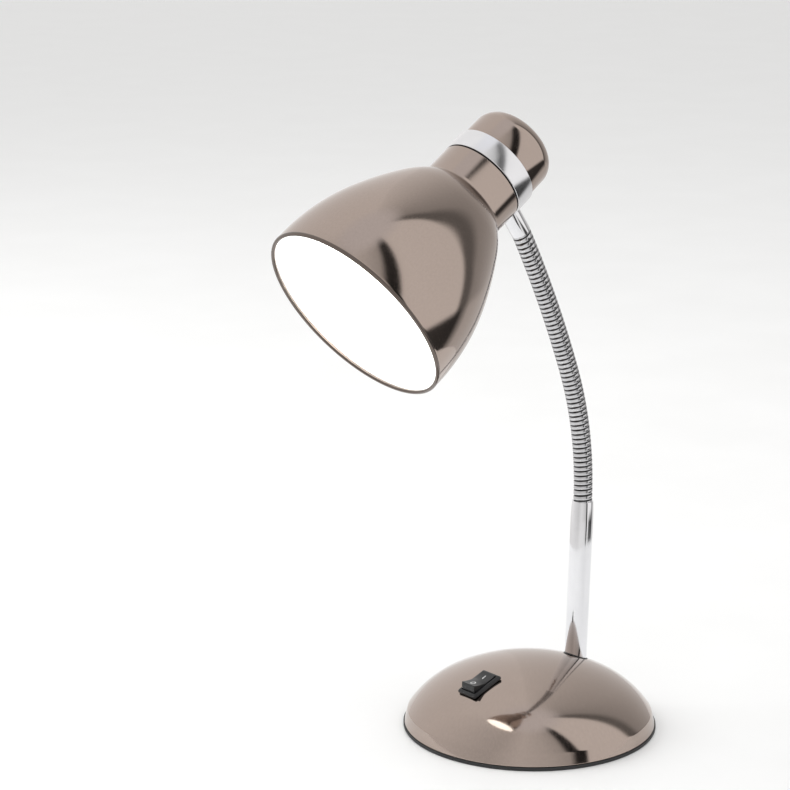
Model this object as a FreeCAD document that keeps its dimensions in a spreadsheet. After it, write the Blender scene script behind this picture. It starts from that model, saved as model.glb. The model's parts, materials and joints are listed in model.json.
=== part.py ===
import FreeCAD, Part
import math
import operator
import os

import Sketcher
from FreeCAD import Vector

# A dome shade desk lamp on a jointed gooseneck. Millimetres, +Z up, front towards -Y.
# The origin is the centre of the base's underside. Stem, neck, switch and head lie in the plane X = 0.

SIZES = (
    # the base
    ("pad_radius", 72.5, "outer radius of the pad under the base"),
    ("pad_thickness", 2.0, "thickness of the pad"),
    ("pad_edge", 0.4, "bevel on the pad's lower edge"),
    ("skirt_inset", 0.5, "how far the skirt's foot stands in from the pad's edge"),
    ("skirt_draw", 1.85, "how far the skirt draws in from its foot to the crease"),
    ("crease_height", 9.2, "height of the crease"),
    ("base_height", 39.5, "height of the dome's crown"),
    ("crown_radius", 107.2, "spherical radius of the dome's crown"),
    ("crown_reach", 50.0, "distance from the axis where the crown's sphere ends"),
    ("shell_wall", 1.0, "sheet thickness of the base shell"),
    ("plate_gap", 2.0, "gap between the bottom plate and the skirt's foot"),
    ("plate_thickness", 1.2, "thickness of the bottom plate"),
    ("ballast_gap", 9.15, "gap between the ballast and the inside of the crease"),
    ("ballast_thickness", 10.0, "thickness of the ballast"),
    ("post_offset", 32.0, "distance of each post from both middle planes"),
    ("post_radius", 4.0, "radius of the shell's posts"),
    ("base_screw_radius", 2.0, "radius of the base screws"),
    ("base_screw_length", 18.0, "length of the base screws under the head"),
    ("base_screw_head", 3.8, "head radius of the base screws"),
    ("base_screw_head_height", 1.3, "head height of the base screws"),
    ("fit_gap", 0.05, "radial gap of a seated pin, screw or sleeve"),
    ("hole_gap", 0.2, "radial gap of a clearance hole"),
    # the cord inlet
    ("inlet_height", 5.9, "height of the cord inlet's axis"),
    ("inlet_bore", 2.4, "radius of the cord inlet's bore"),
    ("inlet_wall", 0.8, "wall of the cord inlet's neck"),
    ("inlet_lip", 0.6, "how far the inlet's lip and collar stand out from its neck"),
    ("inlet_flange", 1.2, "thickness of the inlet's inner flange"),
    ("inlet_length", 6.6, "length of the cord inlet"),
    ("inlet_proud", 1.8, "how far the inlet stands out of the skirt"),
    ("channel_width", 9.6, "width of the ballast's channel behind the inlet"),
    ("channel_length", 15.0, "length of that channel"),
    # the stem
    ("stem_tilt", 2.4, "backward lean of the stem in degrees"),
    ("stem_seat_y", 35.4, "where the stem's axis meets its seat on the ballast"),
    ("stem_seat_depth", 0.8, "depth of the stem's seat in the ballast"),
    ("stem_length", 114.0, "length of the stem tube"),
    ("stem_foot_radius", 6.35, "radius of the stem at its foot"),
    ("stem_radius", 6.5, "radius of the stem below its mouth"),
    ("stem_mouth_radius", 6.0, "radius of the stem at its mouth"),
    ("stem_mouth_length", 12.0, "length over which the stem draws in to its mouth"),
    ("stem_bore", 5.05, "radius of the stem's bore"),
    ("nipple_radius", 5.0, "radius of the threaded nipple"),
    ("nipple_bore", 3.2, "radius of the nipple's bore"),
    ("nipple_inside", 6.0, "length of the nipple inside the stem"),
    ("stem_web", 3.5, "thickness of ballast that the nipple clamps"),
    ("washer_radius", 8.0, "radius of the washer under the ballast's web"),
    ("washer_gap", 1.0, "gap round the washer in its pocket"),
    ("washer_thickness", 1.0, "thickness of that washer"),
    ("nut_width", 14.0, "width across the flats of the nipple's nut"),
    ("nut_thickness", 3.0, "thickness of the nipple's nut"),
    ("nipple_below", 0.8, "length of the nipple beyond its nut"),
    ("seal_wall", 0.6, "wall of the seal between stem and dome"),
    ("seal_proud", 0.35, "how far the seal stands out of the dome"),
    ("lead_port_height", 11.1, "height of the lead's port up the stem"),
    ("lead_port_radius", 3.6, "radius of the lead's port"),
    # the gooseneck
    ("link_spacing", 11.4, "distance between two pivots of the gooseneck"),
    ("neck_foot_tilt", -2.16, "forward lean of the gooseneck at its foot, in degrees"),
    ("neck_middle_tilt", 20.3, "forward lean where the lower bend ends, in degrees"),
    ("neck_top_tilt", 28.3, "forward lean at the top, in degrees"),
    ("link_radius", 5.45, "outer radius of the links"),
    ("joint_gap", 0.55, "half of the gap between two links"),
    ("socket_radius", 4.35, "radius of a link's socket"),
    ("ball_gap", 0.3, "gap between ball and socket"),
    ("ball_height", 2.4, "height of the ball above its centre"),
    ("ball_bore", 2.7, "radius of the bore through the links"),
    ("spigot_length", 12.0, "length of the gooseneck's fitting inside the stem"),
    # the head
    ("head_tilt", 34.86, "how far the shade points below the horizontal, in degrees"),
    ("ferrule_length", 17.3, "distance from the last pivot to the band"),
    ("ferrule_radius", 5.6, "radius of the ferrule"),
    ("shank_radius", 4.0, "radius of the ferrule's threaded shank"),
    ("shank_inside", 8.5, "how far the shank reaches in from the band's face"),
    ("ferrule_nut_width", 12.0, "width across the flats of the ferrule's nut"),
    ("ferrule_nut_thickness", 3.0, "thickness of the ferrule's nut"),
    ("ferrule_nut_depth", 4.8, "depth of the nut's seat below the band's face"),
    ("ferrule_station", 114.2, "distance of the ferrule's axis from the mouth of the shade"),
    ("rim_radius", 56.6, "outer radius of the shade's rolled rim"),
    ("rim_bead", 1.2, "radius of the rolled rim's bead"),
    ("bell_radius", 56.4, "radius of the shade above its rim"),
    ("bell_break_radius", 48.06, "radius of the shade where its lower curve ends"),
    ("bell_break_station", 50.4, "distance from the mouth to that place"),
    ("bell_lower_curve", 121.0, "curve radius of the lower part of the shade"),
    ("bell_waist_radius", 36.0, "radius of the shade where its middle curve ends"),
    ("bell_waist_station", 75.7, "distance from the mouth to that place"),
    ("bell_middle_curve", 200.0, "curve radius of the middle part of the shade"),
    ("bell_top_radius", 26.9, "radius of the shade at its shoulder"),
    ("bell_top_station", 88.0, "distance from the mouth to the shoulder"),
    ("bell_upper_curve", 62.0, "curve radius of the upper part of the shade"),
    ("shoulder_rise", 1.4, "height of the shoulder between bell and neck"),
    ("shade_wall", 0.8, "sheet thickness of the shade and the cap"),
    ("neck_radius", 25.2, "radius of the shade's neck"),
    ("neck_end", 107.4, "distance from the mouth to the end of the shade's neck"),
    ("band_radius", 25.5, "radius of the band"),
    ("band_start", 108.2, "distance from the mouth to the band"),
    ("band_width", 12.1, "width of the band"),
    ("cap_radius", 24.2, "radius of the cap"),
    ("cap_gap", 0.1, "gap between band and cap"),
    ("cap_length", 23.6, "length of the cap"),
    ("cap_corner", 10.0, "radius of the cap's rounded end"),
    ("core_gap", 0.15, "gap between the core and what is pushed over it"),
    ("core_wall", 2.2, "wall of the core"),
    ("core_front", 98.0, "distance from the mouth to the front of the core"),
    ("core_rear_length", 6.5, "length of the core inside the cap"),
    ("web_start", 122.0, "distance from the mouth to the core's web"),
    ("web_thickness", 2.5, "thickness of the core's web"),
    ("web_hole", 6.0, "radius of the hole in the core's web"),
    ("web_slot", 9.0, "width of the slot for the leads in the core's web"),
    # the lampholder and the bulb
    ("holder_front", 80.0, "distance from the mouth to the lampholder's front"),
    ("holder_radius", 19.0, "radius of the lampholder's sleeve"),
    ("holder_wall", 2.0, "wall of the lampholder's sleeve"),
    ("holder_step", 106.5, "distance from the mouth to the lampholder's base"),
    ("holder_base_radius", 16.5, "radius of the lampholder's base"),
    ("holder_tail_radius", 13.0, "radius of the lampholder's tail"),
    ("holder_tail_start", 110.0, "distance from the mouth to the lampholder's tail"),
    ("thread_radius", 13.1, "radius over the bulb's screw cap"),
    ("thread_gap", 0.3, "gap between the bulb's screw cap and its shell"),
    ("thread_shell_wall", 0.5, "wall of the lampholder's screw shell"),
    ("thread_shell_front", 82.0, "distance from the mouth to the screw shell"),
    ("contact_height", 1.4, "height of the centre contact"),
    ("contact_gap", 0.3, "gap between the centre contact and the bulb's tip"),
    ("contact_radius", 3.0, "radius of the centre contact"),
    ("holder_screw_offset", 9.0, "distance of the lampholder's screws from its axis"),
    ("holder_screw_radius", 1.5, "radius of the lampholder's screws"),
    ("holder_screw_head", 2.6, "head radius of the lampholder's screws"),
    ("holder_screw_head_height", 1.5, "head height of the lampholder's screws"),
    ("holder_screw_reach", 7.0, "how far those screws reach into the lampholder"),
    ("terminal_radius", 1.7, "radius of the lampholder's terminals"),
    ("terminal_height", 4.0, "height of the lampholder's terminals"),
    ("terminal_offset", 3.4, "distance of the terminals from the lampholder's axis"),
    ("bulb_tip_radius", 4.4, "radius of the bulb's tip contact"),
    ("bulb_tip_height", 2.0, "height of the bulb's tip contact"),
    ("insulator_radius", 6.6, "radius of the screw cap's narrow end"),
    ("insulator_height", 4.0, "length over which the screw cap narrows"),
    ("bulb_cap_length", 21.0, "length of the bulb's screw cap"),
    ("bulb_collar_length", 15.0, "length of the bulb's housing"),
    ("bulb_collar_curve", 34.0, "curve radius of the bulb's housing"),
    ("bulb_collar_radius", 19.5, "radius of the bulb's housing at the globe"),
    ("bulb_radius", 22.5, "radius of the bulb's globe"),
    ("bulb_wall", 1.0, "wall of the bulb's globe and housing"),
    ("led_board_thickness", 1.6, "thickness of the bulb's light board"),
    # the switch
    ("switch_y", 38.2, "distance of the switch from the base's axis"),
    ("bezel_length", 21.4, "length of the switch's bezel"),
    ("bezel_width", 14.7, "width of the switch's bezel"),
    ("bezel_height", 2.0, "height of the bezel above the dome"),
    ("bezel_bevel", 1.0, "bevel round the bezel's top"),
    ("switch_body_length", 19.5, "length of the switch's body"),
    ("switch_body_width", 12.6, "width of the switch's body"),
    ("switch_body_depth", 11.0, "depth of the switch's body"),
    ("cutout_gap", 0.2, "gap round the switch's body in the dome's cut-out"),
    ("rocker_radius", 8.75, "distance of the rocker's ends from its pivot"),
    ("rocker_width", 10.4, "width of the rocker"),
    ("rocker_top", 3.6, "height of the rocker's ends above its pivot"),
    ("rocker_dish", 1.5, "depth of the dish in the rocker's top"),
    ("rocker_heel", 1.9, "how far the rocker's rounded ends reach below its pivot"),
    ("rocker_depth", 3.2, "depth of the rocker below its pivot"),
    ("rocker_foot", 4.6, "half length of the rocker's underside"),
    ("rocker_gap", 0.3, "gap round the rocker in its well"),
    ("rocker_tilt", 11.0, "tilt of the rocker either way, in degrees"),
    ("pivot_height", 0.9, "height of the rocker's pivot above the dome"),
    ("trunnion_radius", 1.2, "radius of the rocker's trunnions"),
    ("well_depth", 7.0, "depth of the rocker's well below the pivot"),
    ("spade_width", 4.8, "width of a spade terminal"),
    ("spade_thickness", 0.8, "thickness of a spade terminal"),
    ("spade_length", 6.6, "length of a spade terminal"),
    ("spade_offset", 5.0, "distance of a spade terminal from the switch's middle"),
    # the terminal block and the leads
    ("block_length", 16.0, "length of the terminal block along the leads"),
    ("block_width", 20.0, "width of the terminal block"),
    ("block_height", 9.0, "height of the terminal block"),
    ("block_screw_radius", 1.6, "radius of the terminal block's screws"),
    ("block_screw_proud", 0.8, "how far those screws stand out of the block"),
    ("block_pole", 5.0, "distance of a pole from the terminal block's middle"),
    ("lead_radius", 2.1, "radius of the two-core lead"),
    ("core_lead_radius", 0.9, "radius of one insulated core"),
    ("lead_run", 8.0, "straight run of the lead out of the terminal block"),
    ("lead_slack", 0.25, "how far the lead sways in the stem"),
    ("spade_run", 5.5, "straight run of a switch lead out of its spade"),
    ("block_run", 6.5, "straight run of a switch lead into the terminal block"),
    ("far_lead_side", 12.0, "how far to the side the outer spade's lead runs"),
    ("core_turn", 3.5, "height over the ferrule's axis where the lampholder's leads turn"),
    ("core_arch_side", 7.0, "height over the web where those leads bend inwards"),
    ("core_arch_top", 13.0, "height over the web of their arch"),
    ("core_arch_end", 11.0, "height over the web where they turn to the terminals"),
)
LINKS = 15  # links in the gooseneck
LOWER_LINKS = 7  # links in its lower bend

doc = FreeCAD.newDocument("desk_lamp")
sheet = doc.addObject("Spreadsheet::Sheet", "Sizes")
pieces = []


class Size:
    """A length or an angle: its formula over the sheet's names, and its present value."""

    def __init__(self, formula, value):
        self.formula = formula
        self.value = value

    def __add__(self, other):
        return joined(self, "+", other)

    def __radd__(self, other):
        return joined(other, "+", self)

    def __sub__(self, other):
        return joined(self, "-", other)

    def __rsub__(self, other):
        return joined(other, "-", self)

    def __mul__(self, other):
        return joined(self, "*", other)

    def __rmul__(self, other):
        return joined(other, "*", self)

    def __truediv__(self, other):
        return joined(self, "/", other)

    def __neg__(self):
        return joined(0, "-", self)


SIGNS = {"+": operator.add, "-": operator.sub, "*": operator.mul, "/": operator.truediv}


def size(number):
    """A bare number as a Size; a Size stays as it is."""
    if isinstance(number, Size):
        return number
    return Size(repr(float(number)), float(number))


def joined(left, sign, right):
    left, right = size(left), size(right)
    value = SIGNS[sign](left.value, right.value)
    return Size(f"({left.formula} {sign} {right.formula})", value)


def root(number):
    return Size(f"sqrt({number.formula})", math.sqrt(number.value))


def sine(angle):
    return Size(f"sin({angle.formula})", math.sin(math.radians(angle.value)))


def cosine(angle):
    return Size(f"cos({angle.formula})", math.cos(math.radians(angle.value)))


def arcsine(ratio):
    return Size(f"(asin({ratio.formula}) / 1 deg)", math.degrees(math.asin(ratio.value)))


def leg(long_side, other_leg):
    """The second leg of a right triangle."""
    return root(long_side * long_side - other_leg * other_leg)


def leg_sum(one_leg, other_leg):
    """The long side of a right triangle."""
    return root(one_leg * one_leg + other_leg * other_leg)


class Names:
    """The sheet's names, each a Size: size_of.pad_radius."""


size_of = Names()


def write_cell(row, alias, text, note, value):
    sheet.set(f"A{row}", alias)
    sheet.set(f"B{row}", text)
    sheet.set(f"C{row}", note)
    sheet.setAlias(f"B{row}", alias)
    named = Size(f"Sizes.{alias}", value)
    setattr(size_of, alias, named)
    return named


for row, (alias, value, note) in enumerate(SIZES, 1):
    write_cell(row, alias, repr(value), note, value)
doc.recompute()
next_row = len(SIZES) + 2


def derive(alias, amount, note):
    """Keeps a worked-out size in the sheet under its own name."""
    global next_row
    text = "=" + amount.formula.replace("Sizes.", "")
    named = write_cell(next_row, alias, text, note, amount.value)
    next_row += 1
    return named


class Frame:
    """A place in the plane X = 0. Its Z axis leans forward (towards -Y), or back, by an angle."""

    def __init__(self, y, z, lean=0, back=False):
        self.y = size(y)
        self.z = size(z)
        self.lean = size(lean)
        self.back = back

    def shifted(self, up=0, out=0):
        """The frame moved along its own Z and Y axes."""
        sideways = -sine(self.lean) if self.back else sine(self.lean)
        upright = cosine(self.lean)
        y = self.y + out * upright - up * sideways
        z = self.z + up * upright + out * sideways
        return Frame(y, z, self.lean, self.back)

    def point(self, x=0.0):
        return Vector(x, self.y.value, self.z.value)


def bind(thing, place, amount):
    thing.setExpression(place, size(amount).formula)


def put(thing, frame, x=0):
    """Places a thing in a frame, x to the side."""
    x = size(x)
    axis = Vector(-1 if frame.back else 1, 0, 0)
    turn = FreeCAD.Rotation(axis, frame.lean.value)
    thing.Placement = FreeCAD.Placement(frame.point(x.value), turn)
    bind(thing, "Placement.Base.x", x)
    bind(thing, "Placement.Base.y", frame.y)
    bind(thing, "Placement.Base.z", frame.z)
    if frame.lean.value:
        bind(thing, "Placement.Rotation.Angle", frame.lean)
    return thing


def keep(thing, label):
    """Names a finished piece."""
    thing.Label = label
    pieces.append(thing)
    return thing


def rod(radius, length, y=0, z=0, x=0, lean=0, back=False):
    """A round bar along its frame's Z axis."""
    bar = doc.addObject("Part::Cylinder", "Rod")
    bind(bar, "Radius", radius)
    bind(bar, "Height", length)
    return put(bar, Frame(y, z, lean, back), x)


def cross_rod(radius, length, y=0, z=0):
    """A round bar along X, centred on the plane X = 0."""
    bar = doc.addObject("Part::Cylinder", "CrossRod")
    bind(bar, "Radius", radius)
    bind(bar, "Height", length)
    half = size(length) / 2
    turn = FreeCAD.Rotation(Vector(0, 1, 0), 90)
    bar.Placement = FreeCAD.Placement(Vector(-half.value, size(y).value, size(z).value), turn)
    bind(bar, "Placement.Base.x", -half)
    bind(bar, "Placement.Base.y", y)
    bind(bar, "Placement.Base.z", z)
    return bar


def block(width, length, height, y=0, z=0, x=0):
    """A block, width along X and length along Y, centred on x and y, with its underside at z."""
    box = doc.addObject("Part::Box", "Block")
    bind(box, "Length", width)
    bind(box, "Width", length)
    bind(box, "Height", height)
    return put(box, Frame(y - size(length) / 2, z), x - size(width) / 2)


def ball(radius, z):
    sphere = doc.addObject("Part::Sphere", "Ball")
    bind(sphere, "Radius", radius)
    return put(sphere, Frame(0, z))


def nut(width, height, z):
    """A hexagonal bar whose corners point along X."""
    prism = doc.addObject("Part::Prism", "Hexagon")
    prism.Polygon = 6
    bind(prism, "Circumradius", size(width) / root(size(3)))
    bind(prism, "Height", height)
    return put(prism, Frame(0, z))


def combine(kind, name, things):
    result = doc.addObject(kind, name)
    if kind == "Part::Compound":
        result.Links = list(things)
    else:
        result.Shapes = list(things)
    return result


def fuse(*things):
    return combine("Part::MultiFuse", "Fused", things)


def group(*things):
    """Separate solids of one kind, kept side by side."""
    return combine("Part::Compound", "Group", things)


def common(*things):
    return combine("Part::MultiCommon", "Shared", things)


def cut(base, *tools):
    result = doc.addObject("Part::Cut", "Trimmed")
    result.Base = base
    result.Tool = tools[0] if len(tools) == 1 else fuse(*tools)
    return result


def origin_plane(body, role):
    return [plane for plane in body.Origin.OriginFeatures if plane.Role == role][0]


def arc_between(start, end, radius, side):
    """An arc that bulges to the left (side 1) or right (side -1) of the way from start to end."""
    chord = end - start
    half = chord.Length / 2
    rise = radius - math.sqrt(radius * radius - half * half)
    left = Vector(-chord.y, chord.x, 0).normalize()
    middle = (start + end) / 2 + left * (side * rise)
    return Part.ArcOfCircle(start, middle, end)


def outline(body, role, corners):
    """A closed sketch on a plane of the body. A corner is (across, up), with the radius and the
    side of the arc that leads to the next corner where that edge is an arc."""
    sketch = body.newObject("Sketcher::SketchObject", "Outline")
    sketch.AttachmentSupport = [(origin_plane(body, role), "")]
    sketch.MapMode = "FlatFace"
    places = [(size(corner[0]), size(corner[1])) for corner in corners]
    points = [Vector(across.value, up.value, 0) for across, up in places]
    starts = []
    for number, corner in enumerate(corners):
        start, end = points[number], points[(number + 1) % len(points)]
        if len(corner) > 2:
            sketch.addGeometry(arc_between(start, end, size(corner[2]).value, corner[3]), False)
        else:
            sketch.addGeometry(Part.LineSegment(start, end), False)
        first_is_start = (sketch.getPoint(number, 1) - start).Length < 1e-6
        starts.append(1 if first_is_start else 2)
    for number, corner in enumerate(corners):
        following = (number + 1) % len(corners)
        link = Sketcher.Constraint(
            "Coincident", number, 3 - starts[number], following, starts[following]
        )
        sketch.addConstraint(link)
        for kind, amount in zip(("DistanceX", "DistanceY"), places[number]):
            if amount.formula == "0.0":
                line = -2 if kind == "DistanceX" else -1
                rule = Sketcher.Constraint("PointOnObject", number, starts[number], line)
                sketch.addConstraint(rule)
                continue
            rule = Sketcher.Constraint(kind, -1, 1, number, starts[number], amount.value)
            bind(sketch, f"Constraints[{sketch.addConstraint(rule)}]", amount)
        if len(corner) > 2:
            rule = Sketcher.Constraint("Radius", number, size(corner[2]).value)
            bind(sketch, f"Constraints[{sketch.addConstraint(rule)}]", corner[2])
    return sketch


def turned(name, corners, frame=None):
    """A body turned about its Z axis. Corners are (radius, height)."""
    body = doc.addObject("PartDesign::Body", name)
    sketch = outline(body, "XZ_Plane", corners)
    turning = body.newObject("PartDesign::Revolution", "Turning")
    turning.Profile = sketch
    turning.ReferenceAxis = (sketch, ["V_Axis"])
    turning.Angle = 360
    if frame:
        put(body, frame)
    return body


def wall_normals(name, corners):
    """For each edge of an outline, the unit directions out of its left side at its two ends."""
    normals = []
    for number, (corner, following) in enumerate(zip(corners, corners[1:]), 1):
        across = size(following[0]) - corner[0]
        up = size(following[1]) - corner[1]
        chord = derive(f"{name}_chord_{number}", leg_sum(across, up), "length of a chord")
        run, rise = across / chord, up / chord
        if len(corner) > 2:
            turn = chord / (2 * corner[2]) * corner[3]
            level = root(1 - turn * turn)
            start = (-rise * level - run * turn, run * level - rise * turn)
            end = (-rise * level + run * turn, run * level + rise * turn)
        else:
            start = end = (-rise, run)
        normals.append((start, end))
    return normals


def walled(name, corners, wall, frame=None):
    """A turned body of even wall. The corners give its outer face, with the outside on the left of
    the way, from a pole on the axis or a flat open end to a flat open end."""
    normals = wall_normals(name, corners)
    last = len(corners) - 1
    inner = []
    for number, corner in enumerate(corners):
        across, up = size(corner[0]), size(corner[1])
        if number == 0 and across.value == 0:
            inner.append((across, up - wall))
            continue
        if number in (0, last):
            out = normals[0][0] if number == 0 else normals[-1][1]
            place = (across - wall / out[0], up)
        else:
            before, after = normals[number - 1][1], normals[number][0]
            share = wall / (1 + before[0] * after[0] + before[1] * after[1])
            place = (
                across - share * (before[0] + after[0]),
                up - share * (before[1] + after[1]),
            )
        inner.append((
            derive(f"{name}_inner_across_{number}", place[0], "corner of the wall's inner face"),
            derive(f"{name}_inner_up_{number}", place[1], "corner of the wall's inner face"),
        ))
    back = []
    for number in range(last, -1, -1):
        edge = corners[number - 1] if number else ()
        if len(edge) > 2:
            back.append((*inner[number], edge[2] - wall * edge[3], -edge[3]))
        else:
            back.append(inner[number])
    return turned(name, list(corners) + back, frame)


def extruded(name, role, corners, length, symmetric=False):
    body = doc.addObject("PartDesign::Body", name)
    pad = body.newObject("PartDesign::Pad", "Pad")
    pad.Profile = outline(body, role, corners)
    body.Tip = pad
    bind(pad, "Length", length)
    if symmetric:
        pad.SideType = "Symmetric"
    return body


def bevelled_block(name, width, length, height, bevel):
    """A block on the body's XY plane with a bevel round its top."""
    across, along = size(width) / 2, size(length) / 2
    corners = [(-across, -along), (-across, along), (across, along), (across, -along)]
    body = extruded(name, "XY_Plane", corners, height)
    doc.recompute()
    pad = body.Tip
    top = size(height).value
    edges = [
        f"Edge{number}"
        for number, edge in enumerate(pad.Shape.Edges, 1)
        if abs(edge.BoundBox.ZMin - top) < 1e-6
    ]
    chamfer = body.newObject("PartDesign::Chamfer", "Bevel")
    chamfer.Base = (pad, edges)
    bind(chamfer, "Size", bevel)
    return body


def rounded_route(points):
    """A wire through the points: straight runs joined by tangent arcs as large as the runs allow."""
    edges = []
    last = points[0]
    tightest = None
    for before, corner, after in zip(points, points[1:], points[2:]):
        inward = (before - corner).normalize()
        outward = (after - corner).normalize()
        half_turn = (math.pi - inward.getAngle(outward)) / 2
        share = 0.45 * min((before - corner).Length, (after - corner).Length)
        radius = share / math.tan(half_turn)
        tightest = radius if tightest is None else min(tightest, radius)
        start = corner + inward * share
        end = corner + outward * share
        towards = (inward + outward).normalize()
        middle = corner + towards * (radius / math.cos(half_turn) - radius)
        edges.append(Part.LineSegment(last, start).toShape())
        edges.append(Part.Arc(start, middle, end).toShape())
        last = end
    edges.append(Part.LineSegment(last, points[-1]).toShape())
    return Part.Wire(edges), tightest


def lead(points, radius):
    """An insulated lead along a route."""
    route, tightest = rounded_route(points)
    start = (points[1] - points[0]).normalize()
    circle = Part.Wire([Part.Circle(points[0], start, radius).toShape()])
    tube = route.makePipeShell([circle], True, False)
    expected = math.pi * radius * radius * route.Length
    drift = abs(tube.Volume / expected - 1)
    print(f"lead: {route.Length:.1f} mm, tightest bend {tightest:.1f} mm, drift {drift:.4f}")
    return tube


def feature(shape, label):
    """A piece whose shape is worked out in code from the sheet's sizes."""
    thing = doc.addObject("Part::Feature", label)
    thing.Shape = shape
    return keep(thing, label)


# ---- places worked out from the sizes ----

s = size_of
skirt_foot_radius = derive(
    "skirt_foot_radius", s.pad_radius - s.skirt_inset, "radius of the skirt at the pad"
)
crease_radius = derive(
    "crease_radius", skirt_foot_radius - s.skirt_draw, "radius of the crease between skirt and dome"
)
plate_radius = derive(
    "plate_radius", skirt_foot_radius - s.shell_wall - s.plate_gap, "radius of the bottom plate"
)
ballast_radius = derive(
    "ballast_radius", crease_radius - s.shell_wall - s.ballast_gap, "radius of the ballast"
)
crown_centre = derive("crown_centre", s.base_height - s.crown_radius, "height of the crown's centre")
reach_height = derive(
    "reach_height",
    crown_centre + leg(s.crown_radius, s.crown_reach),
    "height where the crown's sphere ends",
)
# The outer arc leaves the crown's sphere in line with it and ends at the crease.
edge_run = crease_radius - s.crown_reach
edge_drop = s.crease_height - reach_height
edge_turn = (edge_run * s.crown_reach + edge_drop * (reach_height - crown_centre)) / s.crown_radius
shoulder_curve = derive(
    "shoulder_curve",
    -(edge_run * edge_run + edge_drop * edge_drop) / (2 * edge_turn),
    "curve radius of the dome's edge",
)
plate_top = derive("plate_top", s.pad_thickness + s.plate_thickness, "top of the bottom plate")
skirt_slope = s.skirt_draw / (s.crease_height - s.pad_thickness)
inlet_neck = derive("inlet_neck", s.inlet_bore + s.inlet_wall, "radius of the cord inlet's neck")
inlet_lip_radius = derive("inlet_lip_radius", inlet_neck + s.inlet_lip, "radius of the inlet's lip")
# The inlet's lip clears the sloping skirt at its lowest point.
inlet_seat = derive(
    "inlet_seat",
    skirt_foot_radius
    - skirt_slope * (s.inlet_height - s.pad_thickness - inlet_lip_radius)
    + s.fit_gap,
    "distance of the inlet's lip from the base's axis",
)
inlet_end = derive("inlet_end", inlet_seat + s.inlet_proud, "outer end of the cord inlet")
ballast_top = derive("ballast_top", plate_top + s.ballast_thickness, "top of the ballast")
stem_seat = derive("stem_seat", ballast_top - s.stem_seat_depth, "height of the stem's seat")
STEM = Frame(s.stem_seat_y, stem_seat, s.stem_tilt, back=True)
first_pivot = STEM.shifted(up=s.stem_length + s.joint_gap)

pivots = [
    Frame(
        derive("pivot_y_1", first_pivot.y, "first pivot of the gooseneck"),
        derive("pivot_z_1", first_pivot.z, "first pivot of the gooseneck"),
    )
]
link_leans = []
for link in range(1, LINKS + 1):
    if link <= LOWER_LINKS:
        share = (link - 0.5) / LOWER_LINKS
        lean = s.neck_foot_tilt + (s.neck_middle_tilt - s.neck_foot_tilt) * share
    else:
        share = (link - LOWER_LINKS - 0.5) / (LINKS - LOWER_LINKS)
        lean = s.neck_middle_tilt + (s.neck_top_tilt - s.neck_middle_tilt) * share
    lean = derive(f"link_lean_{link}", lean, "forward lean of this link in degrees")
    end = Frame(pivots[-1].y, pivots[-1].z, lean).shifted(up=s.link_spacing)
    y = derive(f"pivot_y_{link + 1}", end.y, "pivot of the gooseneck")
    z = derive(f"pivot_z_{link + 1}", end.z, "pivot of the gooseneck")
    link_leans.append(lean)
    pivots.append(Frame(y, z))

STEM_TOP = Frame(pivots[0].y, pivots[0].z, s.stem_tilt, back=True)
FERRULE = Frame(pivots[-1].y, pivots[-1].z, s.head_tilt)
head_lean = derive("head_lean", 90 - s.head_tilt, "backward lean of the head's frame in degrees")
mouth = Frame(pivots[-1].y, pivots[-1].z, head_lean, back=True).shifted(
    up=-s.ferrule_station, out=-(s.band_radius + s.ferrule_length)
)
mouth_y = derive("mouth_y", mouth.y, "centre of the shade's mouth")
mouth_z = derive("mouth_z", mouth.z, "centre of the shade's mouth")
# In the head's frame Z runs from the shade's mouth back to the cap, and +Y points at the ferrule.
HEAD = Frame(mouth_y, mouth_z, head_lean, back=True)

switch_lean = derive(
    "switch_lean", arcsine(s.switch_y / s.crown_radius), "slope of the dome at the switch"
)
switch_z = derive(
    "switch_z", crown_centre + leg(s.crown_radius, s.switch_y), "height of the dome at the switch"
)
SWITCH = Frame(-s.switch_y, switch_z, switch_lean)
neck_inner = derive("neck_inner", s.neck_radius - s.shade_wall, "inside of the shade's neck")
core_radius = derive("core_radius", neck_inner - s.core_gap, "outside of the core")
core_inner = derive("core_inner", core_radius - s.core_wall, "inside of the core")
core_rear_radius = derive(
    "core_rear_radius", s.cap_radius - s.shade_wall - s.core_gap, "outside of the core in the cap"
)
band_end = derive("band_end", s.band_start + s.band_width, "distance from the mouth to the cap side")
cap_start = derive("cap_start", band_end + s.cap_gap, "distance from the mouth to the cap")
cap_end = derive("cap_end", cap_start + s.cap_length, "distance from the mouth to the cap's end")
ball_radius = derive("ball_radius", s.socket_radius - s.ball_gap, "radius of a link's ball")
doc.recompute()


# ---- the base ----

def on_four_posts(maker):
    """One copy of a thing at each post."""
    return [maker(x * s.post_offset, y * s.post_offset) for x in (-1, 1) for y in (-1, 1)]


def make_base_shell():
    dome = walled(
        "Dome",
        [
            (0, s.base_height, s.crown_radius, 1),
            (s.crown_reach, reach_height, shoulder_curve, 1),
            (crease_radius, s.crease_height),
            (skirt_foot_radius, s.pad_thickness),
        ],
        s.shell_wall,
    )
    width = s.switch_body_width + 2 * s.cutout_gap
    length = s.switch_body_length + 2 * s.cutout_gap
    switch_hole = group(block(width, length, 2 * s.switch_body_depth, z=-s.switch_body_depth))
    put(switch_hole, SWITCH)
    stem_hole = rod(seal_outer + s.fit_gap, s.base_height, STEM.y, STEM.z, lean=STEM.lean, back=True)
    inlet_hole = rod(inlet_neck + s.fit_gap, s.pad_radius, 0, s.inlet_height, lean=90, back=True)
    return keep(cut(dome, switch_hole, stem_hole, inlet_hole), "base_shell")


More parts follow.
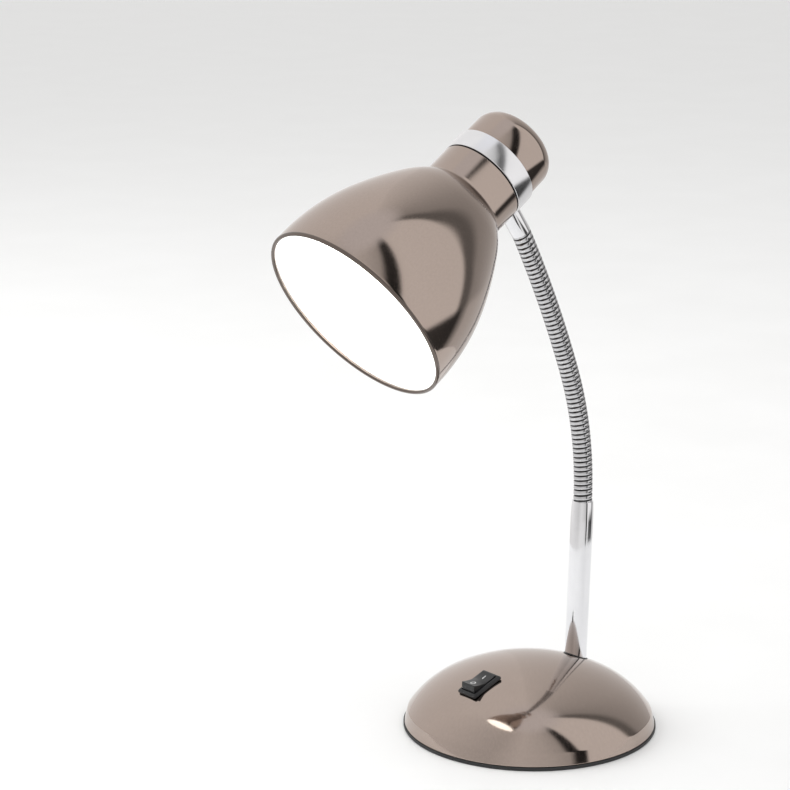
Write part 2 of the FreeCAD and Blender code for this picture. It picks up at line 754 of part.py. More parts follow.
def make_base_pad():
    inner = s.pad_radius - s.pad_edge
    pad = turned(
        "Pad",
        [(0, 0), (inner, 0), (s.pad_radius, s.pad_edge), (s.pad_radius, s.pad_thickness),
         (0, s.pad_thickness)],
    )
    pocket = s.base_screw_head + s.hole_gap
    depth = s.base_screw_head_height + s.hole_gap
    pockets = on_four_posts(
        lambda x, y: rod(pocket, s.pad_thickness, y, s.pad_thickness - depth, x)
    )
    return keep(cut(pad, *pockets), "base_pad")


def make_bottom_plate():
    disc = rod(plate_radius, s.plate_thickness, z=s.pad_thickness)
    clear = s.base_screw_radius + s.hole_gap
    holes = on_four_posts(lambda x, y: rod(clear, s.plate_thickness, y, s.pad_thickness, x))
    notch = block(
        2 * (inlet_lip_radius + s.hole_gap), 2 * (s.inlet_length + s.hole_gap), s.plate_thickness,
        y=inlet_end, z=s.pad_thickness,
    )
    return keep(cut(disc, notch, *holes), "bottom_plate")


def make_ballast():
    disc = rod(ballast_radius, s.ballast_thickness, z=plate_top)
    clear = s.base_screw_radius + s.hole_gap
    holes = on_four_posts(lambda x, y: rod(clear, s.ballast_thickness, y, plate_top, x))
    deep = 2 * s.ballast_thickness
    low = STEM.shifted(up=-deep)
    bore = rod(s.nipple_radius + s.hole_gap, deep, low.y, low.z, lean=low.lean, back=True)
    seat = rod(s.stem_foot_radius + s.hole_gap, deep, STEM.y, STEM.z, lean=STEM.lean, back=True)
    low = STEM.shifted(up=-(deep + s.stem_web))
    pocket = rod(s.washer_radius + s.washer_gap, deep, low.y, low.z, lean=low.lean, back=True)
    channel = block(
        s.channel_width, 2 * s.channel_length, s.ballast_thickness, y=ballast_radius, z=plate_top
    )
    return keep(cut(disc, bore, seat, pocket, channel, *holes), "ballast_disc")


def make_posts():
    sphere = ball(s.crown_radius - s.shell_wall, crown_centre)
    bore_depth = s.base_screw_length + s.hole_gap - (ballast_top - s.pad_thickness)

    def post(x, y):
        bar = rod(s.post_radius, s.base_height - ballast_top, y, ballast_top, x)
        bore = rod(s.base_screw_radius + s.fit_gap, bore_depth, y, ballast_top, x)
        return common(cut(bar, bore), sphere)

    return keep(group(*on_four_posts(post)), "shell_posts")


def make_base_screws():
    def screw(x, y):
        head_foot = s.pad_thickness - s.base_screw_head_height
        head = rod(s.base_screw_head, s.base_screw_head_height, y, head_foot, x)
        shank = rod(
            s.base_screw_radius, s.base_screw_length + s.base_screw_head_height, y, head_foot, x
        )
        return fuse(head, shank)

    return keep(group(*on_four_posts(screw)), "base_screws")


def make_cord_inlet():
    collar = s.inlet_length - s.inlet_proud
    bush = turned(
        "Inlet",
        [
            (s.inlet_bore, 0),
            (inlet_lip_radius, 0),
            (inlet_lip_radius, s.inlet_flange),
            (inlet_neck, s.inlet_flange),
            (inlet_neck, collar),
            (inlet_lip_radius, collar),
            (inlet_lip_radius, s.inlet_length - s.inlet_lip),
            (inlet_neck, s.inlet_length),
            (s.inlet_bore, s.inlet_length),
        ],
    )
    put(bush, Frame(inlet_end - s.inlet_length, s.inlet_height, 90, back=True))
    return keep(bush, "cord_inlet_bush")


# ---- the stem ----

seal_inner = derive("seal_inner", s.stem_foot_radius + 2 * s.fit_gap, "inside of the stem's seal")
seal_outer = derive("seal_outer", seal_inner + s.seal_wall, "outside of the stem's seal")


def tapered_curve():
    """The curve radius that draws the stem in to its mouth without a corner at the start."""
    inset = s.stem_radius - s.stem_mouth_radius
    return (s.stem_mouth_length * s.stem_mouth_length + inset * inset) / (2 * inset)


def make_stem():
    tube = turned(
        "StemTube",
        [
            (s.stem_bore, 0),
            (s.stem_foot_radius, 0),
            (s.stem_radius, s.stem_length - s.stem_mouth_length, tapered_curve(), -1),
            (s.stem_mouth_radius, s.stem_length),
            (s.stem_bore, s.stem_length),
        ],
    )
    port = rod(s.lead_port_radius, 2 * s.stem_radius, 0, s.lead_port_height, lean=90)
    return keep(put(cut(tube, port), STEM), "stem")


def make_stem_fixings():
    clamped = s.stem_web + s.washer_thickness + s.nut_thickness
    foot = -(clamped + s.nipple_below)
    nipple = cut(
        rod(s.nipple_radius, s.nipple_inside - foot, z=foot),
        rod(s.nipple_bore, s.nipple_inside - foot, z=foot),
    )
    keep(put(nipple, STEM), "stem_nipple")
    bore = rod(s.nipple_radius + s.fit_gap, 2 * clamped, z=-2 * clamped)
    washer_foot = -(s.stem_web + s.washer_thickness)
    washer = cut(rod(s.washer_radius, s.washer_thickness, z=washer_foot), bore)
    keep(put(washer, STEM), "stem_washer")
    hexagon = nut(s.nut_width, s.nut_thickness, -clamped)
    keep(put(cut(hexagon, bore), STEM), "stem_nut")


def make_stem_seal():
    tube = cut(
        rod(seal_outer, s.base_height, STEM.y, STEM.z, lean=STEM.lean, back=True),
        rod(seal_inner, s.base_height, STEM.y, STEM.z, lean=STEM.lean, back=True),
    )
    outside = ball(s.crown_radius + s.seal_proud, crown_centre)
    inside = ball(s.crown_radius - s.shell_wall - s.seal_proud, crown_centre)
    return keep(common(tube, cut(outside, inside)), "stem_seal")


# ---- the gooseneck ----

def ball_foot():
    """The radius at which a ball stands on the end face of its link."""
    return leg(ball_radius, s.joint_gap)


def make_neck_root():
    """The fitting in the stem's mouth, with the ball that the first link turns on."""
    outer = s.stem_bore - s.fit_gap
    foot = -(s.joint_gap + s.spigot_length)
    fitting = turned(
        "NeckRoot",
        [
            (s.ball_bore, foot),
            (outer, foot),
            (outer, -s.joint_gap),
            (ball_foot(), -s.joint_gap, ball_radius, -1),
            (leg(ball_radius, s.ball_height), s.ball_height),
            (s.ball_bore, s.ball_height),
        ],
        STEM_TOP,
    )
    return keep(fitting, "neck_root_fitting")


def make_links():
    """Each link is a tube with a socket round its own pivot and a ball round the next."""
    ball_foot_height = s.link_spacing - s.joint_gap
    ball_top = s.link_spacing + s.ball_height
    for number, (pivot, lean) in enumerate(zip(pivots, link_leans), 1):
        link = turned(
            f"Link{number}",
            [
                (leg(s.socket_radius, s.joint_gap), s.joint_gap),
                (s.link_radius, s.joint_gap),
                (s.link_radius, ball_foot_height),
                (ball_foot(), ball_foot_height, ball_radius, -1),
                (leg(ball_radius, s.ball_height), ball_top),
                (s.ball_bore, ball_top),
                (s.ball_bore, leg(s.socket_radius, s.ball_bore), s.socket_radius, 1),
            ],
            Frame(pivot.y, pivot.z, lean),
        )
        keep(link, f"neck_link_{number:02d}")


# ---- the head ----

def make_ferrule():
    rough_top = s.ferrule_length + s.joint_gap * 2
    socket_edge = leg(s.socket_radius, s.joint_gap)
    socket_top = leg(s.socket_radius, s.ball_bore)
    collar = turned(
        "FerruleCollar",
        [
            (socket_edge, s.joint_gap),
            (s.ferrule_radius, s.joint_gap),
            (s.ferrule_radius, rough_top),
            (s.ball_bore, rough_top),
            (s.ball_bore, socket_top, s.socket_radius, 1),
        ],
        FERRULE,
    )
    ring = HEAD.shifted(up=s.band_start)
    saddle = rod(s.band_radius + s.fit_gap, s.band_width, ring.y, ring.z, lean=ring.lean, back=True)
    shank_foot = FERRULE.shifted(up=s.ferrule_length / 2)
    shank_length = s.ferrule_length / 2 + s.shank_inside
    placed = dict(y=shank_foot.y, z=shank_foot.z, lean=shank_foot.lean)
    shank = cut(
        rod(s.shank_radius, shank_length, **placed), rod(s.ball_bore, shank_length, **placed)
    )
    return keep(fuse(cut(collar, saddle), shank), "ferrule")


def make_ferrule_nut():
    foot = s.ferrule_length + s.ferrule_nut_depth
    hexagon = nut(s.ferrule_nut_width, s.ferrule_nut_thickness, foot)
    bore = rod(s.shank_radius + s.fit_gap, s.ferrule_nut_thickness, z=foot)
    return keep(put(cut(hexagon, bore), FERRULE), "ferrule_nut")


def shank_hole():
    return rod(s.shank_radius + s.hole_gap, s.band_radius * 2, 0, s.ferrule_station, lean=90, back=True)


def make_band():
    inner = core_radius + s.core_gap
    ring = turned(
        "Band",
        [(inner, s.band_start), (s.band_radius, s.band_start), (s.band_radius, band_end),
         (inner, band_end)],
    )
    return keep(put(cut(ring, shank_hole()), HEAD), "chrome_band")


def make_core():
    rear_end = band_end + s.core_rear_length
    web_end = s.web_start + s.web_thickness
    rear_inner = core_rear_radius - s.core_wall
    tube = turned(
        "Core",
        [
            (core_inner, s.core_front),
            (core_radius, s.core_front),
            (core_radius, band_end),
            (core_rear_radius, band_end),
            (core_rear_radius, rear_end),
            (rear_inner, rear_end),
            (rear_inner, web_end),
            (s.web_hole, web_end),
            (s.web_hole, s.web_start),
            (core_inner, s.web_start),
        ],
    )
    slot = block(
        s.web_slot, rear_inner, 2 * s.web_thickness,
        y=rear_inner / 2, z=s.web_start - s.web_thickness / 2,
    )
    screw_holes = [
        rod(s.holder_screw_radius + s.hole_gap, 2 * s.web_thickness,
            z=s.web_start - s.web_thickness / 2, x=x * s.holder_screw_offset)
        for x in (-1, 1)
    ]
    return keep(put(cut(tube, slot, shank_hole(), *screw_holes), HEAD), "head_core")


def make_cap():
    cap = walled(
        "Cap",
        [
            (0, cap_end),
            (s.cap_radius - s.cap_corner, cap_end, s.cap_corner, 1),
            (s.cap_radius, cap_end - s.cap_corner),
            (s.cap_radius, cap_start),
        ],
        s.shade_wall,
        HEAD,
    )
    return keep(cap, "head_cap")


def make_shade():
    bell = walled(
        "Bell",
        [
            (s.neck_radius, s.neck_end),
            (s.neck_radius, s.bell_top_station + s.shoulder_rise),
            (s.bell_top_radius, s.bell_top_station, s.bell_upper_curve, 1),
            (s.bell_waist_radius, s.bell_waist_station, s.bell_middle_curve, 1),
            (s.bell_break_radius, s.bell_break_station, s.bell_lower_curve, 1),
            (s.bell_radius, s.rim_bead),
        ],
        s.shade_wall,
    )
    bead = doc.addObject("Part::Torus", "RimBead")
    bind(bead, "Radius1", s.rim_radius - s.rim_bead)
    bind(bead, "Radius2", s.rim_bead)
    put(bead, Frame(0, s.rim_bead))
    return keep(put(fuse(bell, bead), HEAD), "shade")


# ---- the lampholder and the bulb ----

def holder_screw_places(maker):
    return [maker(x * s.holder_screw_offset) for x in (-1, 1)]


def make_lampholder():
    inner = s.holder_radius - s.holder_wall
    floor_hole = s.thread_radius + s.thread_gap + s.thread_shell_wall + s.thread_gap
    sleeve = turned(
        "HolderSleeve",
        [
            (inner, s.holder_front),
            (s.holder_radius, s.holder_front),
            (s.holder_radius, s.holder_step),
            (floor_hole, s.holder_step),
            (floor_hole, s.holder_step - s.holder_wall),
            (inner, s.holder_step - s.holder_wall),
        ],
        HEAD,
    )
    keep(sleeve, "lampholder_sleeve")
    base = turned(
        "HolderBase",
        [
            (0, s.holder_step),
            (s.holder_base_radius, s.holder_step),
            (s.holder_base_radius, s.holder_tail_start),
            (s.holder_tail_radius, s.holder_tail_start),
            (s.holder_tail_radius, s.web_start),
            (0, s.web_start),
        ],
    )
    bore_foot = s.web_start - s.holder_screw_reach - s.hole_gap
    bores = holder_screw_places(
        lambda x: rod(s.holder_screw_radius + s.fit_gap, s.holder_base_radius, z=bore_foot, x=x)
    )
    keep(put(cut(base, *bores), HEAD), "lampholder_base")
    shell_inner = s.thread_radius + s.thread_gap
    shell_outer = shell_inner + s.thread_shell_wall
    shell = turned(
        "ScrewShell",
        [
            (shell_inner, s.thread_shell_front),
            (shell_outer, s.thread_shell_front),
            (shell_outer, s.holder_step),
            (shell_inner, s.holder_step),
        ],
        HEAD,
    )
    keep(shell, "lampholder_screw_shell")
    contact = rod(s.contact_radius, s.contact_height, z=s.holder_step - s.contact_height)
    keep(put(group(contact), HEAD), "lampholder_centre_contact")


def make_holder_fixings():
    web_end = s.web_start + s.web_thickness

    def screw(x):
        shank = rod(
            s.holder_screw_radius, s.holder_screw_reach + s.web_thickness,
            z=s.web_start - s.holder_screw_reach, x=x,
        )
        head = rod(s.holder_screw_head, s.holder_screw_head_height, z=web_end, x=x)
        return fuse(shank, head)

    keep(put(group(*holder_screw_places(screw)), HEAD), "lampholder_screws")
    posts = [
        rod(s.terminal_radius, s.terminal_height, z=s.web_start, x=x * s.terminal_offset)
        for x in (-1, 1)
    ]
    keep(put(group(*posts), HEAD), "lampholder_terminals")


def make_bulb():
    tip_top = derive(
        "tip_top",
        s.holder_step - s.contact_height - s.contact_gap,
        "distance from the mouth to the bulb's tip",
    )
    tip_foot = derive("tip_foot", tip_top - s.bulb_tip_height, "foot of the bulb's tip contact")
    cap_foot = derive("cap_foot", tip_foot - s.bulb_cap_length, "foot of the bulb's screw cap")
    seat = derive("globe_seat", cap_foot - s.bulb_collar_length, "where globe and housing meet")
    tip = rod(s.bulb_tip_radius, s.bulb_tip_height, z=tip_foot)
    keep(put(group(tip), HEAD), "bulb_tip_contact")
    cone_foot = tip_foot - s.insulator_height
    screw_cap = turned(
        "BulbCap",
        [(0, tip_foot), (s.insulator_radius, tip_foot), (s.thread_radius, cone_foot),
         (s.thread_radius, cap_foot), (0, cap_foot)],
        HEAD,
    )
    keep(screw_cap, "bulb_screw_cap")
    housing = turned(
        "BulbHousing",
        [
            (0, cap_foot),
            (s.thread_radius + s.bulb_wall, cap_foot, s.bulb_collar_curve, -1),
            (s.bulb_collar_radius, seat),
            (0, seat),
        ],
        HEAD,
    )
    keep(housing, "bulb_housing")
    rise = leg(s.bulb_radius, s.bulb_collar_radius)
    pole = seat - rise - s.bulb_radius
    inner_radius = s.bulb_radius - s.bulb_wall
    inner_edge = leg(inner_radius, rise)
    globe = turned(
        "BulbGlobe",
        [
            (0, pole, s.bulb_radius, -1),
            (s.bulb_collar_radius, seat),
            (inner_edge, seat, inner_radius, 1),
            (0, pole + s.bulb_wall),
        ],
        HEAD,
    )
    keep(globe, "bulb_globe")
    board = rod(inner_edge - s.bulb_wall, s.led_board_thickness, z=seat - s.led_board_thickness)
    keep(put(group(board), HEAD), "bulb_light_board")


# ---- the switch ----

def make_switch_housing():
    well_half = s.rocker_radius + s.rocker_gap
    bezel = bevelled_block(
        "Bezel", s.bezel_width, s.bezel_length, s.bezel_height, s.bezel_bevel
    )
    body = block(
        s.switch_body_width, s.switch_body_length, s.switch_body_depth + s.bezel_height / 2,
        z=-s.switch_body_depth,
    )
    floor = s.pivot_height - s.well_depth
    well = block(
        s.rocker_width + 2 * s.rocker_gap, 2 * well_half, s.well_depth + s.bezel_height, z=floor
    )
    holes = cross_rod(s.trunnion_radius + s.fit_gap, s.switch_body_width, z=s.pivot_height)
    housing = cut(fuse(bezel, body), well, holes)
    return keep(put(housing, SWITCH), "switch_housing")


def make_rocker():
    top_half = leg(s.rocker_radius, s.rocker_top)
    heel_half = leg(s.rocker_radius, s.rocker_heel)
    dish = (top_half * top_half + s.rocker_dish * s.rocker_dish) / (2 * s.rocker_dish)
    body = extruded(
        "RockerBody",
        "YZ_Plane",
        [
            (-s.rocker_foot, -s.rocker_depth),
            (-heel_half, -s.rocker_heel, s.rocker_radius, 1),
            (-top_half, s.rocker_top, dish, -1),
            (top_half, s.rocker_top, s.rocker_radius, 1),
            (heel_half, -s.rocker_heel),
            (s.rocker_foot, -s.rocker_depth),
        ],
        s.rocker_width,
        symmetric=True,
    )
    trunnions = cross_rod(s.trunnion_radius, s.switch_body_width - 4 * s.fit_gap)
    pivot = SWITCH.shifted(up=s.pivot_height)
    rest = Frame(pivot.y, pivot.z, switch_lean - s.rocker_tilt)
    return keep(put(fuse(body, trunnions), rest), "switch_rocker")


def make_switch_terminals():
    spades = [
        block(
            s.spade_width, s.spade_thickness, s.spade_length,
            y=side * s.spade_offset, z=-(s.switch_body_depth + s.spade_length),
        )
        for side in (-1, 1)
    ]
    return keep(put(group(*spades), SWITCH), "switch_terminals")


# ---- the terminal block and the leads ----

def make_terminal_block():
    body = block(s.block_width, s.block_length, s.block_height, z=ballast_top)
    depth = s.block_height / 2
    foot = ballast_top + depth
    places = [(x * s.block_pole, y * s.block_length / 4) for x in (-1, 1) for y in (-1, 1)]
    bores = [rod(s.block_screw_radius + s.fit_gap, depth, y, foot, x) for x, y in places]
    keep(cut(body, *bores), "terminal_block")
    height = depth + s.block_screw_proud
    screws = [rod(s.block_screw_radius, height, y, foot, x) for x, y in places]
    keep(group(*screws), "terminal_block_screws")


def make_leads():
    half_block = s.block_length / 2
    lead_height = ballast_top + s.block_height / 2
    stem_route = [
        Frame(half_block, lead_height),
        Frame(half_block + s.lead_run, lead_height),
        STEM.shifted(up=s.lead_port_height + s.lead_radius),
        STEM.shifted(up=s.stem_length / 3, out=s.lead_slack),
        STEM.shifted(up=s.stem_length * 2 / 3, out=-s.lead_slack),
        STEM_TOP.shifted(up=-s.ball_gap),
    ]
    points = [place.point() for place in stem_route]
    feature(lead(points, s.lead_radius.value), "stem_lead")
    points = [pivot.point() for pivot in pivots]
    feature(lead(points, s.lead_radius.value), "neck_lead")
    sheath = rod(s.lead_radius, s.ferrule_length + s.shank_inside - s.joint_gap, z=s.joint_gap)
    keep(put(group(sheath), FERRULE), "head_lead")

    shank_end = s.band_radius - s.shank_inside
    tail_gap = s.holder_tail_radius + 2 * s.core_lead_radius + s.hole_gap
    cores = []
    for side in (-1, 1):
        route = [
            (side * s.core_lead_radius * 1.1, shank_end - s.core_lead_radius, s.ferrule_station),
            (side * s.core_lead_radius * 1.6, tail_gap, s.ferrule_station + s.core_turn),
            (side * s.core_lead_radius * 2.4, tail_gap, s.web_start + s.core_arch_side),
            (side * s.terminal_offset * 1.1, tail_gap / 2, s.web_start + s.core_arch_top),
            (side * s.terminal_offset, size(0), s.web_start + s.core_arch_end),
            (side * s.terminal_offset, size(0), s.web_start + s.terminal_height),
        ]
        points = [HEAD.shifted(up=up, out=out).point(x.value) for x, out, up in route]
        cores.append(lead(points, s.core_lead_radius.value))
    feature(Part.makeCompound(cores), "lampholder_leads")

    spade_middle = -(s.switch_body_depth + s.spade_length / 2)
    face = s.spade_offset + s.spade_thickness / 2
    inner = SWITCH.shifted(up=spade_middle, out=face)
    inner_exit = SWITCH.shifted(up=spade_middle, out=face + s.spade_run)
    outer = SWITCH.shifted(up=spade_middle, out=-face)
    outer_exit = SWITCH.shifted(up=spade_middle, out=-(face + s.spade_run))
    core = s.core_lead_radius.value
    pole = s.block_pole.value
    side = s.far_lead_side.value
    run = s.block_run.value
    front = -half_block.value
    height = lead_height.value
    near = [
        inner.point(core),
        inner_exit.point(core),
        Vector(pole, front - run, height),
        Vector(pole, front, height),
    ]
    far = [
        outer.point(-core),
        outer_exit.point(-core),
        Vector(-side, outer_exit.y.value, height),
        Vector(-side, front - 2 * run, height),
        Vector(-pole, front - run, height),
        Vector(-pole, front, height),
    ]
    feature(Part.makeCompound([lead(near, core), lead(far, core)]), "switch_leads")


def check_and_write():
    doc.recompute()
    for thing in doc.Objects:
        if "Invalid" in thing.State or "Error" in thing.State:
            raise RuntimeError(f"{thing.Label} failed: {thing.State}")
    os.makedirs("parts", exist_ok=True)
    for piece in pieces:
        shape = piece.Shape
        if shape.isNull() or not shape.isValid() or not shape.Solids:
            raise RuntimeError(f"{piece.Label} has no valid solid")
        shape.exportStep(f"parts/{piece.Label}.step")
        print(f"{piece.Label}: {len(shape.Solids)} solid, {shape.Volume:.0f} mm3")


make_base_shell()
make_base_pad()
make_bottom_plate()
make_ballast()
make_posts()
make_base_screws()
make_cord_inlet()
make_stem()
make_stem_fixings()
make_stem_seal()
make_neck_root()
make_links()
make_ferrule()
make_ferrule_nut()
make_band()
make_core()
make_cap()
make_shade()
make_lampholder()
make_holder_fixings()
make_bulb()
make_switch_housing()
make_rocker()
make_switch_terminals()
make_terminal_block()
make_leads()
check_and_write()
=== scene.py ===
# %% [markdown]
# # A desk lamp with a bell shade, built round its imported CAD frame
# The frame is the finished construction model: every solid is already in its place, in metres,
# and every moving body has a name. This notebook only adds the looks. Smooth polished metal shows
# each facet of a CAD mesh, so the large metal shells are turned again here with dense rings, while
# the plain inner parts keep their CAD meshes and only get a finish.

import json
import math

import bmesh
import bpy
from mathutils import Matrix, Vector


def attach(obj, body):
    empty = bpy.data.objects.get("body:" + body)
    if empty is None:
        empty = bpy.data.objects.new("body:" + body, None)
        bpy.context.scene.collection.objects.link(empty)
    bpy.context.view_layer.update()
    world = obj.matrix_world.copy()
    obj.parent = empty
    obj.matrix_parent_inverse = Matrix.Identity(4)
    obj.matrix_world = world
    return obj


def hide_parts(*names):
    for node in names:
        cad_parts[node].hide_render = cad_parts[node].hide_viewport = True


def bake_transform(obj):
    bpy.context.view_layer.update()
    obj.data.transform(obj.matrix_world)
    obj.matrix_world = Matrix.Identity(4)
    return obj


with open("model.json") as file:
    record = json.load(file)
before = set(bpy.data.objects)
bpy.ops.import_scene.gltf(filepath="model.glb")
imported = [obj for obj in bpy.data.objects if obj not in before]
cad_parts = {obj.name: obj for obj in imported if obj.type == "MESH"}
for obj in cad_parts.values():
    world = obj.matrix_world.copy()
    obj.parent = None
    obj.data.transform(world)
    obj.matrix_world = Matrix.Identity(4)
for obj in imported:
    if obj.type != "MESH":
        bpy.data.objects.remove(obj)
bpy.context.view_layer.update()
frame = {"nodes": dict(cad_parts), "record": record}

# %% [markdown]
# The gooseneck's pivots come from the record, so the skin that is wound round them later can't
# drift from the joints. They are sorted by height, from the stem to the head.

# %% Read the pivots
MM = 0.001
joints = frame["record"]["behaviour"]["joints"]
pivots = [Vector(joint["pos_m"]) / MM for joint in joints if joint["name"].startswith("neck_")]
pivots.sort(key=lambda point: point.z)
print(len(pivots), "pivots, the last at", [round(value, 1) for value in pivots[-1]])

# %% [markdown]
# Three parts of the lamp lean in the plane X = 0: the stem leans back by 2.4 degrees, the switch
# lies on the slope of the dome, and the head's own axis runs from the shade's mouth back to the
# cap. A place is a matrix, so each piece can be drawn upright round its own Z axis and then put
# where it belongs. Sizes are written in millimetres and turned into metres once, here.

# %% Places on the lamp
STEM_LEAN = -2.4
SWITCH_SLOPE = 20.876
HEAD_PITCH = 34.86
FERRULE_LENGTH = 17.3
BAND_RADIUS = 25.5
FERRULE_STATION = 114.2


def place(y, z, lean=0.0):
    """A place in the plane X = 0. Its Z axis leans forward by lean degrees."""
    turn = Matrix.Rotation(math.radians(lean), 4, "X")
    return Matrix.Translation((0, y * MM, z * MM)) @ turn


base_place = place(0, 0)
stem_place = place(35.4, 12.4, STEM_LEAN)
stem_top = place(pivots[0].y, pivots[0].z, STEM_LEAN)
switch_place = place(-38.2, 32.463, SWITCH_SLOPE)
ferrule_place = place(pivots[-1].y, pivots[-1].z, HEAD_PITCH)
head_turn = Matrix.Rotation(math.radians(HEAD_PITCH - 90), 4, "X")
to_mouth = head_turn @ Vector((0, -(BAND_RADIUS + FERRULE_LENGTH), -FERRULE_STATION))
mouth_centre = pivots[-1] + to_mouth
head_place = Matrix.Translation(mouth_centre * MM) @ head_turn
inlet_place = place(67.2, 5.9, -90)
print("centre of the shade's mouth:", [round(value, 1) for value in mouth_centre])

# %% [markdown]
# ## Turned metal
# Dome, shade, neck, band, cap and stem are all spun or turned on a lathe in the real lamp. The
# same idea works here: an outline of radius and height, carried round the axis in small steps.
# A Screw modifier would do it too, but rings made in code keep the pole a single point and need
# nothing applied afterwards. An outline may hold arcs, written by their radius and the side they
# bulge to, which are sampled finely enough for a mirror finish.

# %% Outlines with arcs
STEP = 1.6  # distance between two samples along an arc


def arc_samples(start, end, radius, side):
    """Points along an arc that bulges to the left (1) or right (-1) of the way."""
    chord = end - start
    half = chord.length / 2
    left = Vector((-chord.y, chord.x)).normalized()
    centre = (start + end) / 2 - left * side * math.sqrt(radius * radius - half * half)
    first = (start - centre).to_3d()
    sweep = -side * 2 * math.asin(half / radius)
    count = max(3, round(abs(sweep) * radius / STEP))
    samples = []
    for step in range(count):
        turned = Matrix.Rotation(sweep * step / count, 3, "Z") @ first
        samples.append(centre + turned.to_2d())
    return samples


def outline(*corners):
    """A list of points. A corner is (radius, height), with an arc's radius and side if an arc
    leads from it to the next corner."""
    points = []
    for corner, following in zip(corners, corners[1:]):
        start, end = Vector(corner[:2]), Vector(following[:2])
        points += arc_samples(start, end, *corner[2:]) if len(corner) > 2 else [start]
    points.append(Vector(corners[-1][:2]))
    return points


# %% [markdown]
# No real edge is perfectly sharp. A tiny rounding catches the light as a thin bright line, which
# is what makes pressed metal look pressed. So every corner of an outline is cut back by a given
# amount and replaced with a short curve.

# %% Soft corners
def softened(points, amount, closed=True):
    """The outline with every real corner rounded by up to amount."""
    result = []
    count = len(points)
    for number, corner in enumerate(points):
        if not closed and number in (0, count - 1):
            result.append(corner)
            continue
        before, after = points[number - 1], points[(number + 1) % count]
        inward, outward = before - corner, after - corner
        bend = math.pi - inward.angle(outward, math.pi)
        if bend < math.radians(16):
            result.append(corner)
            continue
        start = corner + inward.normalized() * min(amount, 0.42 * inward.length)
        end = corner + outward.normalized() * min(amount, 0.42 * outward.length)
        for step in range(5):
            t = step / 4
            result.append(start * (1 - t) ** 2 + corner * 2 * t * (1 - t) + end * t * t)
    return result


# %% Mesh pieces
def mesh_piece(name, corners, faces, where=base_place, sharp=40):
    """An object from corners in millimetres, smooth except where faces meet at over sharp degrees."""
    mesh = bpy.data.meshes.new(name)
    mesh.from_pydata([tuple(Vector(corner) * MM) for corner in corners], [], faces)
    form = bmesh.new()
    form.from_mesh(mesh)
    bmesh.ops.recalc_face_normals(form, faces=form.faces)
    form.to_mesh(mesh)
    form.free()
    mesh.shade_smooth()
    mesh.set_sharp_from_angle(angle=math.radians(sharp))
    piece = bpy.data.objects.new(name, mesh)
    bpy.context.scene.collection.objects.link(piece)
    piece.matrix_world = where
    return piece


def turned_piece(name, points, where, around=180, closed=True):
    """A piece turned round its Z axis. An outline that begins and ends on the axis isn't closed."""
    corners, rings, faces = [], [], []
    for point in points:
        if abs(point.x) < 1e-6:
            rings.append([len(corners)] * around)
            corners.append((0, 0, point.y))
            continue
        rings.append(list(range(len(corners), len(corners) + around)))
        for step in range(around):
            angle = 2 * math.pi * step / around
            corners.append((point.x * math.cos(angle), point.x * math.sin(angle), point.y))
    pairs = list(zip(rings, rings[1:]))
    if closed:
        pairs.append((rings[-1], rings[0]))
    for lower, upper in pairs:
        for step in range(around):
            after = (step + 1) % around
            face = [lower[step], lower[after], upper[after], upper[step]]
            face = [corner for index, corner in enumerate(face) if corner not in face[:index]]
            if len(face) > 2:
                faces.append(face)
    piece = mesh_piece(name, corners, faces, where)
    print(f"{name}: {len(faces)} faces")
    return piece


def walled(points, wall):
    """A closed outline: the points, then the same line moved in by the wall and walked back."""
    inner = []
    last = len(points) - 1
    for number, point in enumerate(points):
        before = (point - points[number - 1]).normalized() if number else None
        after = (points[number + 1] - point).normalized() if number < last else None
        way = ((before or after) + (after or before)).normalized()
        share = way.dot(after or before)
        inward = Vector((way.y, -way.x)) * (wall / max(share, 0.5))
        moved = point + inward
        if abs(point.x) < 1e-6:
            moved.x = 0
        inner.append(moved)
    return points + inner[::-1]


def wears(piece, body, slot, finish, *nodes):
    """Joins a piece to its body and its finish, and lets it stand for CAD nodes. The slot it is given is not
    used.
    """
    piece.data.materials.clear()
    piece.data.materials.append(finish)
    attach(piece, body)
    if nodes:
        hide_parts(*nodes)
    return piece


# %% [markdown]
# ## Finishes
# Every finish is a Principled shader with a little structure of its own. The numbers that are the
# same all over sit on the shader's sockets; the roughness and the height of the surface come from
# noise, measured in the piece's own coordinates, so they turn with the piece.

# %% A finish with structure
def finish(name, colour, metal, rough, **sockets):
    """A material with its shader and the given socket values."""
    material = bpy.data.materials.new(name)
    material.use_nodes = True
    tree = material.node_tree
    shader = tree.nodes["Principled BSDF"]
    shader.inputs["Base Color"].default_value = (*colour, 1)
    shader.inputs["Metallic"].default_value = metal
    shader.inputs["Roughness"].default_value = rough
    for socket, value in sockets.items():
        shader.inputs[socket.replace("_", " ")].default_value = value
    return material, tree, shader


def own_coordinates(tree, stretch=(1, 1, 1)):
    """The piece's own coordinates, stretched along its axes."""
    source = tree.nodes.new("ShaderNodeTexCoord")
    mapping = tree.nodes.new("ShaderNodeMapping")
    mapping.inputs["Scale"].default_value = stretch
    tree.links.new(source.outputs["Object"], mapping.inputs["Vector"])
    return mapping.outputs["Vector"]


def noise(tree, scale, detail=3.0, stretch=(1, 1, 1), vector=None):
    grain = tree.nodes.new("ShaderNodeTexNoise")
    grain.inputs["Scale"].default_value = scale
    grain.inputs["Detail"].default_value = detail
    tree.links.new(vector or own_coordinates(tree, stretch), grain.inputs["Vector"])
    return grain.outputs["Fac"]


